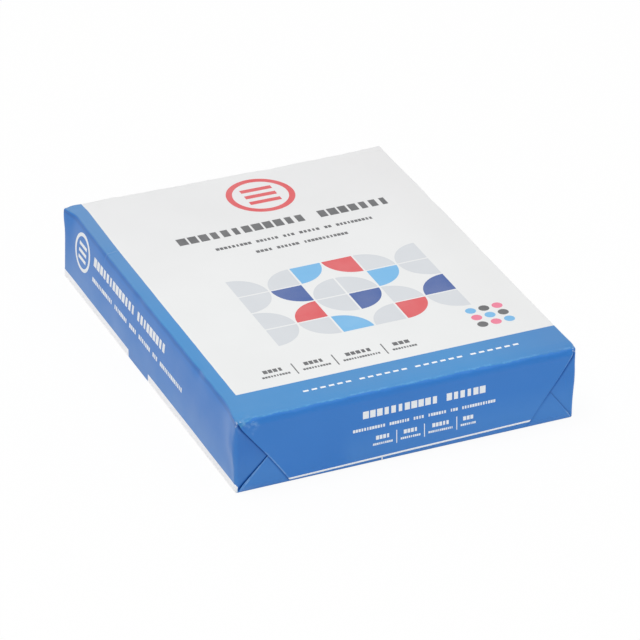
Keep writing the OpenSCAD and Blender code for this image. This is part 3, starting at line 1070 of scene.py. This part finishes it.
        # Where it has turned, painted light makes it brighter low down, and painted shade makes it darker on the
        # front end's left tuck
        low = sh.math("MULTIPLY", sh.spread(z, 12.0, 28.0, 1.0, 0.0),
                      sh.math("MAXIMUM", sh.above(1.5, layer, 0.4), sh.above(x, -40.0, 9.0)))
        shaded_turned_ink = sh.mix(low, self.shaded_turned_blue, self.lit_low_blue)
        tuck = sh.math("MULTIPLY", sh.above(past_end, 1.0, 1.5), sh.above(0.5, layer, 0.4))
        tuck = sh.math("MULTIPLY", tuck, sh.above(sheet.pack.left + 40.0, x))
        shaded_turned_ink = sh.mix(tuck, shaded_turned_ink, self.tuck_shade, "MULTIPLY")
        ink = sh.mix(turned, ink, shaded_turned_ink)
        # Painted shade darkens the left side's upper rim
        past_left = sh.math("MULTIPLY_ADD", sh.noise(place, 70.0), 1.6, sh.math("SUBTRACT", sheet.pack.left - 0.8, u))
        rim = sh.math("ABSOLUTE", sh.math("SUBTRACT", past_left, 1.7))
        ink = sh.mix(sh.spread(rim, 0.5, 1.9, 1.0, 0.0), ink, self.rim_shade, "MULTIPLY")
        ink = sh.mix(sh.spread(cloud, 0.3, 0.7, 0.0, 1.0), ink, (1.06, 1.05, 1.04), "MULTIPLY")
        # The white on the ends and sides is painted brighter, as painted light
        on_end = sh.above(past_end, 4.0, 3.0)
        white = sh.mix(sh.math("MAXIMUM", on_end, sh.above(past_side, 0.0, 0.6)), white,
                       self.lit_side_white)
        base = sh.mix(blue, white, ink)
        # Painted shade beside the end flaps' folds, where the specular is turned down too
        shade, worn = self.creases(sh, sheet.ends[Side.FRONT], sheet.pack, box, layer)
        off_roll = sh.above(past_end, 1.0, 1.5)
        shade = sh.math("MULTIPLY", sh.math("MULTIPLY", shade, off_roll), self.crease_shade_strength)
        base = sh.mix(shade, base, self.crease_shade, "MULTIPLY")
        # Rubbed ink along the folds, and paler paint on the crumple's raised crests as a painted highlight
        rubbed = sh.spread(sh.noise(place, 160.0, 4.0, 0.7), 0.44, 0.56, 0.35, 1.0)
        worn = sh.math("MULTIPLY", sh.math("MULTIPLY", worn, off_roll), 0.42)
        worn = sh.math("MAXIMUM", worn, sh.math("MULTIPLY", fold, 0.45))
        base = sh.mix(sh.math("MULTIPLY", worn, rubbed), base, self.worn_and_highlight_blue)
        scuffed = sh.math("MULTIPLY", self.scuffs(sh, sheet.pack, box), 0.45)
        base = sh.mix(scuffed, base, (0.70, 0.73, 0.78))
        cut = sh.above(0.06, edge, 0.05)
        base = sh.mix(cut, base, (0.86, 0.87, 0.87))
        rough = sh.spread(sh.noise(place, 45.0, 3.0), 0.3, 0.7, self.roughness - 0.04,
                          self.roughness + 0.06)
        on_roll = sh.spread(sh.math("ABSOLUTE", past_end), 1.0, 6.0, 1.0, 0.0)
        crinkle = sh.math("MULTIPLY", sh.noise(place, 260.0, 3.0, 0.6), on_roll)
        soft = sh.bump(sh.noise(place, 60.0, 3.0, 0.55), 0.00012, 0.6)
        soft = sh.bump(crinkle, 0.0005, 0.7, soft)
        fine = sh.bump(fibre, 0.00001, 0.5, soft)
        return sh.surface(Base_Color=base, Roughness=rough, IOR=1.5, Normal=fine,
                          Specular_IOR_Level=sh.spread(shade, 0.0, 1.0, 0.5, 0.1))


@dataclass(frozen=True)
class FloorFinish:
    """A white sweep that shows as plain white and still takes the ream's shadow."""

    colour: Colour = (0.90, 0.90, 0.90)
    glow: float = 0.93

    def material(self) -> bpy.types.Material:
        """Return the floor's material."""
        sh = Shading("studio_floor")
        body = sh.node("ShaderNodeBsdfDiffuse")
        body.inputs["Color"].default_value = (*self.colour, 1.0)
        plain = sh.node("ShaderNodeEmission")
        plain.inputs["Color"].default_value = (1.0, 1.0, 1.0, 1.0)
        plain.inputs["Strength"].default_value = 1.0
        path = sh.node("ShaderNodeLightPath")
        seen = sh.math("MAXIMUM", path.outputs["Is Camera Ray"], path.outputs["Is Glossy Ray"])
        share = sh.math("MULTIPLY", seen, self.glow)
        mixed = sh.node("ShaderNodeMixShader")
        sh.put(mixed.inputs[0], share)
        sh.put(mixed.inputs[1], body.outputs[0])
        sh.put(mixed.inputs[2], plain.outputs[0])
        out = sh.node("ShaderNodeOutputMaterial")
        sh.put(out.inputs["Surface"], mixed.outputs[0])
        return sh.material


class Stencil(Enum):
    """The shapes that the print is made of, in the order of their names in the collection."""

    BAR = 0
    DISC = 1
    QUARTER = 2
    RING = 3

    def outline(self) -> tuple[list[tuple[float, float]], list[tuple[int, ...]]]:
        """Return a flat mesh of the shape, one unit wide and high, as points and faces."""
        if self is Stencil.BAR:
            return lattice(14, 3, lambda a, b: (a - 0.5, b - 0.5))
        if self is Stencil.RING:
            return lattice(72, 2, lambda a, b: polar(math.tau * a, 0.5 - b / 11.0), closed=True)
        if self is Stencil.DISC:
            return lattice(36, 4, lambda a, b: polar(math.tau * a, 0.5 - 0.496 * b), closed=True,
                           capped=True)
        return lattice(18, 8, lambda a, b: tuple(
            c - 0.5 for c in polar(math.pi / 2 * a, 1.0 - 0.995 * b)))

    def mesh_object(self) -> bpy.types.Object:
        """Return the shape as a closed slab from 0 to 1 in Z."""
        points, faces = self.outline()
        mesh = bpy.data.meshes.new(f"stencil_{self.value}")
        bm = bmesh.new()
        verts = [bm.verts.new((x, y, 0.0)) for x, y in points]
        for f in faces:
            bm.faces.new([verts[i] for i in f])
        grown = bmesh.ops.extrude_face_region(bm, geom=list(bm.faces), use_keep_orig=True)
        for item in grown["geom"]:
            if isinstance(item, bmesh.types.BMVert):
                item.co.z = 1.0
        bmesh.ops.recalc_face_normals(bm, faces=bm.faces)
        bm.to_mesh(mesh)
        bm.free()
        return bpy.data.objects.new(mesh.name, mesh)


def polar(angle: float, radius: float) -> tuple[float, float]:
    """Return the point at that angle and distance from the origin."""
    return math.cos(angle) * radius, math.sin(angle) * radius


def lattice(across: int, along: int, place: Callable[[float, float], tuple[float, float]],
            closed: bool = False, capped: bool = False
            ) -> tuple[list[tuple[float, float]], list[tuple[int, ...]]]:
    """Make a flat grid of faces.

    Args:
        across: Number of faces one way.
        along: Number of faces the other way.
        place: Gives the point at two shares from 0 to 1.
        closed: Joins the last faces across to the first.
        capped: Fills the innermost loop.

    Returns:
        Points and faces.
    """
    wide = across if closed else across + 1
    points = [place(i / across, j / along) for j in range(along + 1) for i in range(wide)]
    faces = []
    for j in range(along):
        for i in range(across):
            k = (i + 1) % wide
            faces.append((j * wide + i, j * wide + k, (j + 1) * wide + k, (j + 1) * wide + i))
    if capped:
        faces.append(tuple(along * wide + i for i in range(wide)))
    return points, faces


@dataclass(frozen=True)
class Ink:
    """One printing ink, with the sheen of the paper under it."""

    name: str
    colour: Colour
    roughness: float = 0.36

    def material(self) -> bpy.types.Material:
        """Return the ink: slightly cloudy, with the paper's fibres showing in it."""
        sh = Shading(f"ink_{self.name}")
        place = sh.node("ShaderNodeTexCoord").outputs["Object"]
        cloud = sh.spread(sh.noise(place, 55.0, 3.0), 0.3, 0.7, 0.0, 1.0)
        pale = tuple(c + (1 - c) * 0.05 for c in self.colour)
        colour = sh.mix(cloud, self.colour, pale)
        speck = sh.above(sh.noise(place, 2600.0, 2.0, 0.6), 0.70, 0.08)
        colour = sh.mix(sh.math("MULTIPLY", speck, 0.12), colour, (0.85, 0.86, 0.87))
        rough = sh.spread(sh.noise(place, 45.0, 3.0), 0.3, 0.7, self.roughness - 0.04,
                          self.roughness + 0.06)
        fine = sh.bump(sh.noise(place, 1400.0, 3.0, 0.6), 0.00001, 0.5)
        return sh.surface(Base_Color=colour, Roughness=rough, IOR=1.5, Normal=fine)


class Inks(Enum):
    """The inks of the print."""

    GREY = Ink("grey", (0.078, 0.080, 0.086))
    RED = Ink("red", (0.64, 0.060, 0.070))
    NAVY = Ink("navy", (0.018, 0.075, 0.30))
    SKY = Ink("sky", (0.14, 0.42, 0.72))
    PINK = Ink("pink", (0.76, 0.16, 0.27))
    MIST = Ink("mist", (0.60, 0.625, 0.66))
    WHITE = Ink("white", (0.84, 0.86, 0.88))


@dataclass(frozen=True)
class Mark:
    """One printed shape: its middle, size and turn on the flat sheet, in millimetres."""

    ink: Inks
    stencil: Stencil
    at: tuple[float, float]
    size: tuple[float, float]
    turn: float = 0.0


@dataclass(frozen=True)
class Field:
    """A place on the flat sheet that print is set out from, and which way it reads."""

    origin: tuple[float, float]
    turn: float = 0.0

    def mark(self, ink: Inks, stencil: Stencil, x: float, y: float, w: float, h: float,
             turn: float = 0.0) -> Mark:
        """Return a mark whose middle is at x, y in this field."""
        c, s = math.cos(self.turn), math.sin(self.turn)
        at = (self.origin[0] + c * x - s * y, self.origin[1] + s * x + c * y)
        return Mark(ink, stencil, at, (w, h), self.turn + turn)

    def words(self, ink: Inks, lengths: tuple[float, ...], gap: float, start: float, y: float,
              h: float) -> list[Mark]:
        """Return a row of words as runs of plain blocks.

        Args:
            ink: Their ink.
            lengths: Length of each word.
            gap: Room between words.
            start: Where the row starts.
            y: The row's middle.
            h: Height of the blocks.
        """
        marks, x = [], start
        for length in lengths:
            count = max(1, round(length / (h * 0.86)))
            pitch = length / count
            for k in range(count):
                w = pitch * BLOCK_WIDTHS[(k + len(marks)) % len(BLOCK_WIDTHS)]
                marks.append(self.mark(ink, Stencil.BAR, x + (k + 0.5) * pitch, y, w, h))
            x += length + gap
        return marks

    def facts(self, ink: Inks, cells: tuple[float, ...], gap: float, x: float, y: float,
              h: float) -> list[Mark]:
        """Return a centred row of cells, each a thick bar over a thin one, with rules between."""
        marks, at = [], x - row_length(cells, gap) / 2
        for i, cell in enumerate(cells):
            marks += self.words(ink, (cell * 0.7,), 0.0, at + cell * 0.15, y + h * 0.23, h * 0.3)
            marks += self.words(ink, (cell,), 0.0, at, y - h * 0.24, h * 0.16)
            if i:
                marks.append(self.mark(ink, Stencil.BAR, at - gap / 2, y, h / 16, h))
            at += cell + gap
        return marks

    def emblem(self, ink: Inks, x: float, y: float, d: float) -> list[Mark]:
        """Return a ring round a stack of three bars."""
        ring = d / 11
        marks = [self.mark(ink, Stencil.RING, x, y, d, d)]
        return marks + [self.mark(ink, Stencil.BAR, x, y + k * 2 * ring, d * 0.48, ring)
                        for k in (-1, 0, 1)]


# Share of its pitch that each block of a word fills, in turn
BLOCK_WIDTHS = (0.86, 0.66, 0.78, 0.50, 0.80, 0.74, 0.60)


def row_length(lengths: tuple[float, ...], gap: float) -> float:
    """Return the length of a row of bars with gaps between them."""
    return sum(lengths) + gap * (len(lengths) - 1)


@dataclass(frozen=True)
class Print:
    """All the print on the wrapper, in the CAD's layout."""

    pack: Pack
    shift: float = 11.0

    def top(self) -> list[Mark]:
        """Return the print on the top."""
        length = self.pack.length
        f = Field((self.shift, self.pack.front))
        marks = f.emblem(Inks.RED, 0.0, length - 32.0, 44.0)
        for lengths, y, h in (((86.0, 49.0), length - 69.5, 8.5),
                              ((24.0, 15.0, 8.0, 14.0, 5.0, 25.0), length - 86.5, 3.0),
                              ((11.0, 15.0, 30.0), length - 98.5, 3.0)):
            marks += f.words(Inks.GREY, lengths, h, -row_length(lengths, h) / 2, y, h)
        marks += f.facts(Inks.GREY, (18.0, 18.0, 24.0, 16.0), 8.0, -36.5, 42.0, 12.5)
        return marks + self.tiles(f) + self.dots(f) + self.dashes(f)

    def tiles(self, f: Field) -> list[Mark]:
        """Return the picture: rows of quarter discs."""
        tile, pitch = 20.0, 21.2
        middle = (self.pack.length - 98.5 + 42.0) / 2
        marks = []
        for j, row in enumerate(TILES):
            for i, (ink, corner) in enumerate(row):
                x = (i - (len(row) - 1) / 2) * pitch
                y = middle + ((len(TILES) - 1) / 2 - j) * pitch
                marks.append(f.mark(ink, Stencil.QUARTER, x, y, tile, tile, corner * math.pi / 2))
        return marks

    def dots(self, f: Field) -> list[Mark]:
        """Return the badge of dots."""
        pitch = 26.0 / 3
        x0, y0 = self.pack.width / 2 - 30.0 - self.shift, 54.0
        return [f.mark(ink, Stencil.DISC, x0 + (i - 1) * pitch, y0 + (1 - j) * pitch,
                       pitch * 0.76, pitch * 0.76)
                for j, row in enumerate(DOTS) for i, ink in enumerate(row)]

    def dashes(self, f: Field) -> list[Mark]:
        """Return the dashes on the front band, in even groups."""
        dash, groups, each = 3.4, 4, 6
        pitch = dash * 1.6
        start = -row_length((each * pitch,) * groups, dash) / 2
        return [f.mark(Inks.WHITE, Stencil.BAR,
                       start + g * (each * pitch + dash) + k * pitch + dash / 2, 15.8, dash, dash / 2)
                for g in range(groups) for k in range(each)]

    def end(self) -> list[Mark]:
        """Return the print on the front end's top flap, set out from the front end's base."""
        f = Field((self.shift, self.pack.front - self.pack.height))
        title, facts = 34.3, 15.0
        marks = f.words(Inks.WHITE, (49.0, 26.0), 5.0, -40.0, title, 5.0)
        line = (21.0, 13.0, 7.0, 12.0, 5.0, 22.0)
        marks += f.words(Inks.WHITE, line, 2.5, -row_length(line, 2.5) / 2, (title + facts) / 2, 2.0)
        return marks + f.facts(Inks.WHITE, (13.0, 13.0, 16.0, 10.0), 5.0, 0.0, facts, 9.0)

    def side(self) -> list[Mark]:
        """Return the print on the left side, which reads from the back end."""
        base = self.pack.left - self.pack.height
        f = Field((base, -self.pack.front), -math.pi / 2)
        marks = f.emblem(Inks.WHITE, 30.0, 31.5, 25.0)
        marks += f.words(Inks.WHITE, (68.0, 46.0), 4.0, 48.5, 35.5, 6.0)
        return marks + f.words(Inks.WHITE, (33.0, 21.0, 11.0, 19.0, 8.0, 35.0), 4.0, 48.5, 23.3, 3.0)


def _tiles() -> tuple[tuple[tuple[Inks, int], ...], ...]:
    """Return the picture's rows: each tile's ink, and the corner its quarter disc grows from."""
    kinds = {"m": Inks.MIST, "s": Inks.SKY, "r": Inks.RED, "n": Inks.NAVY}
    rows = ("m0 m1 s3 r2 m0 m1", "m3 n2 m1 m0 s3 m2", "m0 r1 m2 n3 m0 n1", "m3 m2 s0 m1 r3 m2")
    return tuple(tuple((kinds[t[0]], int(t[1])) for t in row.split()) for row in rows)


TILES = _tiles()
DOTS = ((Inks.SKY, Inks.GREY, Inks.PINK), (Inks.PINK, Inks.SKY, Inks.GREY),
        (Inks.GREY, Inks.PINK, Inks.SKY))


@dataclass
class PrintPress:
    """Lays marks on the sheet: each is set out flat and then carried onto the folded sheet."""

    sheet: bpy.types.Object
    film: float = 0.03
    lift: float = 0.05
    tree: bpy.types.NodeTree = field(init=False)
    stencils: bpy.types.Collection = field(init=False)

    def __post_init__(self) -> None:
        """Make the stencils and the node tree once, for all inks."""
        self.stencils = bpy.data.collections.new("stencils")
        for stencil in Stencil:
            self.stencils.objects.link(stencil.mesh_object())
        self.tree = self.node_tree()

    def node_tree(self) -> bpy.types.NodeTree:
        """Build the tree that puts a stencil at each point and wraps it onto the sheet."""
        tree = bpy.data.node_groups.new("print_on_sheet", "GeometryNodeTree")
        face = tree.interface
        for name, kind in (("Marks", "NodeSocketGeometry"), ("Sheet", "NodeSocketObject"),
                           ("Stencils", "NodeSocketCollection"), ("Film", "NodeSocketFloat"),
                           ("Lift", "NodeSocketFloat"), ("Flat Span", "NodeSocketFloat"),
                           ("Ink", "NodeSocketMaterial")):
            face.new_socket(name, in_out="INPUT", socket_type=kind)
        face.new_socket("Print", in_out="OUTPUT", socket_type="NodeSocketGeometry")

        def node(kind: str, **settings: object) -> bpy.types.Node:
            made = tree.nodes.new(kind)
            for key, value in settings.items():
                setattr(made, key, value)
            return made

        def attribute(name: str, kind: str) -> bpy.types.NodeSocket:
            made = node("GeometryNodeInputNamedAttribute", data_type=kind)
            made.inputs["Name"].default_value = name
            return made.outputs["Attribute"]

        link = tree.links.new
        given = node("NodeGroupInput").outputs
        shapes = node("GeometryNodeCollectionInfo")
        shapes.inputs["Separate Children"].default_value = True
        link(given["Stencils"], shapes.inputs["Collection"])
        place = node("GeometryNodeInstanceOnPoints")
        place.inputs["Pick Instance"].default_value = True
        link(given["Marks"], place.inputs["Points"])
        link(shapes.outputs[0], place.inputs["Instance"])
        link(attribute("stencil", "INT"), place.inputs["Instance Index"])
        turn = node("ShaderNodeCombineXYZ")
        link(attribute("turn", "FLOAT"), turn.inputs["Z"])
        link(turn.outputs[0], place.inputs["Rotation"])
        link(attribute("size", "FLOAT_VECTOR"), place.inputs["Scale"])
        real = node("GeometryNodeRealizeInstances")
        link(place.outputs[0], real.inputs[0])
        here = node("ShaderNodeSeparateXYZ")
        link(node("GeometryNodeInputPosition").outputs[0], here.inputs[0])
        flat = node("ShaderNodeCombineXYZ")
        for axis in (0, 1):
            share = node("ShaderNodeMath", operation="DIVIDE")
            link(here.outputs[axis], share.inputs[0])
            link(given["Flat Span"], share.inputs[1])
            middle = node("ShaderNodeMath", operation="ADD")
            middle.inputs[1].default_value = 0.5
            link(share.outputs[0], middle.inputs[0])
            link(middle.outputs[0], flat.inputs[axis])
        height = node("ShaderNodeMath", operation="MULTIPLY_ADD")
        link(here.outputs[2], height.inputs[0])
        link(given["Film"], height.inputs[1])
        link(given["Lift"], height.inputs[2])
        target = node("GeometryNodeObjectInfo")
        link(given["Sheet"], target.inputs[0])

        def on_sheet(value: bpy.types.NodeSocket) -> bpy.types.NodeSocket:
            made = node("GeometryNodeSampleUVSurface", data_type="FLOAT_VECTOR")
            link(target.outputs["Geometry"], made.inputs["Mesh"])
            link(value, made.inputs["Value"])
            link(attribute(FLAT_MAP, "FLOAT_VECTOR"), made.inputs["Source UV Map"])
            link(flat.outputs[0], made.inputs["Sample UV"])
            return made.outputs["Value"]

        spot = on_sheet(node("GeometryNodeInputPosition").outputs[0])
        outward = on_sheet(node("GeometryNodeInputNormal").outputs[0])
        raise_by = node("ShaderNodeVectorMath", operation="SCALE")
        link(outward, raise_by.inputs[0])
        link(height.outputs[0], raise_by.inputs["Scale"])
        total = node("ShaderNodeVectorMath", operation="ADD")
        link(spot, total.inputs[0])
        link(raise_by.outputs[0], total.inputs[1])
        move = node("GeometryNodeSetPosition")
        link(real.outputs[0], move.inputs["Geometry"])
        link(total.outputs[0], move.inputs["Position"])
        paint = node("GeometryNodeSetMaterial")
        link(move.outputs[0], paint.inputs["Geometry"])
        link(given["Ink"], paint.inputs["Material"])
        link(paint.outputs[0], node("NodeGroupOutput").inputs[0])
        return tree

    def lay(self, ink: Inks, marks: list[Mark]) -> bpy.types.Object:
        """Print all the marks of one ink.

        Args:
            ink: The ink.
            marks: Its marks.

        Returns:
            The print, as a plain mesh.
        """
        mesh = bpy.data.meshes.new("marks")
        mesh.from_pydata([(m.at[0] * MM, m.at[1] * MM, 0.0) for m in marks], [], [])
        sizes = [c for m in marks for c in (m.size[0] * MM, m.size[1] * MM, 1.0)]
        mesh.attributes.new("size", "FLOAT_VECTOR", "POINT").data.foreach_set("vector", sizes)
        mesh.attributes.new("turn", "FLOAT", "POINT").data.foreach_set(
            "value", [m.turn for m in marks])
        mesh.attributes.new("stencil", "INT", "POINT").data.foreach_set(
            "value", [m.stencil.value for m in marks])
        points = bpy.data.objects.new("marks", mesh)
        bpy.context.collection.objects.link(points)
        modifier = points.modifiers.new("press", "NODES")
        modifier.node_group = self.tree
        values = {"Sheet": self.sheet, "Stencils": self.stencils, "Film": self.film * MM,
                  "Lift": self.lift * MM, "Flat Span": FLAT_SPAN * MM, "Ink": ink.value.material()}
        for item in self.tree.interface.items_tree:
            if item.in_out == "INPUT" and item.name in values:
                modifier[item.identifier] = values[item.name]
        printed = plain_copy(points, f"print_{ink.value.name}")
        bpy.data.objects.remove(points)
        printed.data.materials.clear()
        printed.data.materials.append(values["Ink"])
        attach(printed, "root")
        LOG.info("%s: %d marks, %d faces", printed.name, len(marks), len(printed.data.polygons))
        return printed

    def clear(self) -> None:
        """Take away the stencils, which aren't part of the ream."""
        for item in list(self.stencils.objects):
            bpy.data.objects.remove(item)
        bpy.data.collections.remove(self.stencils)


@dataclass(frozen=True)
class Lamp:
    """One soft rectangular lamp, aimed at the ream."""

    name: str
    place: tuple[float, float, float]
    size: float
    watts: float
    colour: Colour
    aim: tuple[float, float, float] = (0.0, 0.0, 0.02)

    def hang(self) -> None:
        """Put the lamp in the scene."""
        light = bpy.data.lights.new(self.name, "AREA")
        light.shape = "DISK"
        light.size = self.size
        light.energy = self.watts
        light.color = self.colour
        lamp = bpy.data.objects.new(self.name, light)
        lamp.location = self.place
        toward = Vector(self.aim) - Vector(self.place)
        lamp.rotation_euler = toward.to_track_quat("-Z", "Y").to_euler()
        lamp.visible_glossy = False
        bpy.context.collection.objects.link(lamp)


@dataclass
class Studio:
    """Camera, floor and lights."""

    azimuth: float = -23.526
    elevation: float = 30.109
    roll: float = 0.158
    shift_right: float = 4.764
    shift_up: float = 14.738
    distance: float = 2960.5
    focal_pixels: float = 4800.2
    image_pixels: float = 640.0
    sensor: float = 36.0
    room_level: float = 0.66
    ceiling_shine: float = 1.6
    front_shine: float = 0.3
    floor_half: float = 4.0
    lamps: tuple[Lamp, ...] = (
        Lamp("key", (-0.35, 0.1, 2.4), 1.4, 25.0, (1.0, 0.99, 0.97)),
        Lamp("front_fill", (0.4, -2.2, 0.7), 1.2, 5.0, (0.86, 0.98, 1.0)),
    )

    def camera(self) -> None:
        """Set the camera where the photograph was taken from."""
        az, el, roll = (math.radians(a) for a in (self.azimuth, self.elevation, self.roll))
        back = Vector((math.sin(az) * math.cos(el), -math.cos(az) * math.cos(el), math.sin(el)))
        right = Vector((math.cos(az), math.sin(az), 0.0))
        up = back.cross(right)
        across = right * math.cos(roll) + up * math.sin(roll)
        above = up * math.cos(roll) - right * math.sin(roll)
        place = (back * self.distance + across * self.shift_right + above * self.shift_up) * MM
        lens = bpy.data.cameras.new("camera")
        lens.sensor_width = self.sensor
        lens.lens = self.focal_pixels / self.image_pixels * self.sensor
        lens.clip_end = 20.0
        camera = bpy.data.objects.new("camera", lens)
        turn = Matrix((across, above, back)).transposed().to_4x4()
        camera.matrix_world = Matrix.Translation(place) @ turn
        bpy.context.collection.objects.link(camera)
        bpy.context.scene.camera = camera

    def floor(self) -> None:
        """Lay the floor."""
        h = self.floor_half
        mesh = bpy.data.meshes.new("floor")
        mesh.from_pydata([(-h, -h, 0), (h, -h, 0), (h, h, 0), (-h, h, 0)], [], [(0, 1, 2, 3)])
        mesh.materials.append(FloorFinish().material())
        floor = bpy.data.objects.new("floor", mesh)
        bpy.context.collection.objects.link(floor)

    def room(self) -> None:
        """Light the room evenly, and show it as plain white to the camera.

        In gloss the ceiling is brighter than the walls, and the wall behind the camera is dark.
        """
        world = bpy.data.worlds.new("room")
        world.use_nodes = True
        nodes, links = world.node_tree.nodes, world.node_tree.links
        background = nodes["Background"]
        background.inputs["Color"].default_value = (1.0, 1.0, 1.0, 1.0)
        path = nodes.new("ShaderNodeLightPath")
        way = nodes.new("ShaderNodeSeparateXYZ")
        links.new(nodes.new("ShaderNodeTexCoord").outputs["Generated"], way.inputs[0])

        def ranged(axis: str, low: float, high: float, to_low: float,
                   to_high: float) -> bpy.types.NodeSocket:
            """Return a level that changes with the way looked in, along one axis."""
            made = nodes.new("ShaderNodeMapRange")
            links.new(way.outputs[axis], made.inputs["Value"])
            for name, value in (("From Min", low), ("From Max", high), ("To Min", to_low),
                                ("To Max", to_high)):
                made.inputs[name].default_value = value
            return made.outputs[0]

        shine = nodes.new("ShaderNodeMath")
        shine.operation = "MULTIPLY"
        links.new(ranged("Z", 0.50, 0.75, 1.0, self.ceiling_shine), shine.inputs[0])
        links.new(ranged("Y", -0.75, -0.60, self.front_shine, 1.0), shine.inputs[1])
        gloss = nodes.new("ShaderNodeMix")
        gloss.inputs["A"].default_value = self.room_level
        links.new(path.outputs["Is Glossy Ray"], gloss.inputs["Factor"])
        links.new(shine.outputs[0], gloss.inputs["B"])
        seen = nodes.new("ShaderNodeMix")
        seen.inputs["B"].default_value = 1.0
        links.new(path.outputs["Is Camera Ray"], seen.inputs["Factor"])
        links.new(gloss.outputs["Result"], seen.inputs["A"])
        links.new(seen.outputs["Result"], background.inputs["Strength"])
        bpy.context.scene.world = world

    def build(self) -> None:
        """Set up the whole studio."""
        self.camera()
        self.floor()
        self.room()
        for lamp in self.lamps:
            lamp.hang()
        bpy.context.scene.view_settings.view_transform = "Standard"


def main() -> None:
    """Build the ream in its studio and report each piece."""
    logging.basicConfig(level=logging.INFO, format="%(name)s: %(message)s")
    Studio().build()
    sheet = WrapperSheet()
    wrapper, guide = sheet.build()
    sheet.dress(wrapper, PrintedPaper())
    design = Print(sheet.pack)
    marks = design.top() + design.end() + design.side()
    press = PrintPress(guide)
    for ink in Inks:
        press.lay(ink, [m for m in marks if m.ink is ink])
    press.clear()
    bpy.data.objects.remove(guide)


if __name__ == "__main__":
    main()
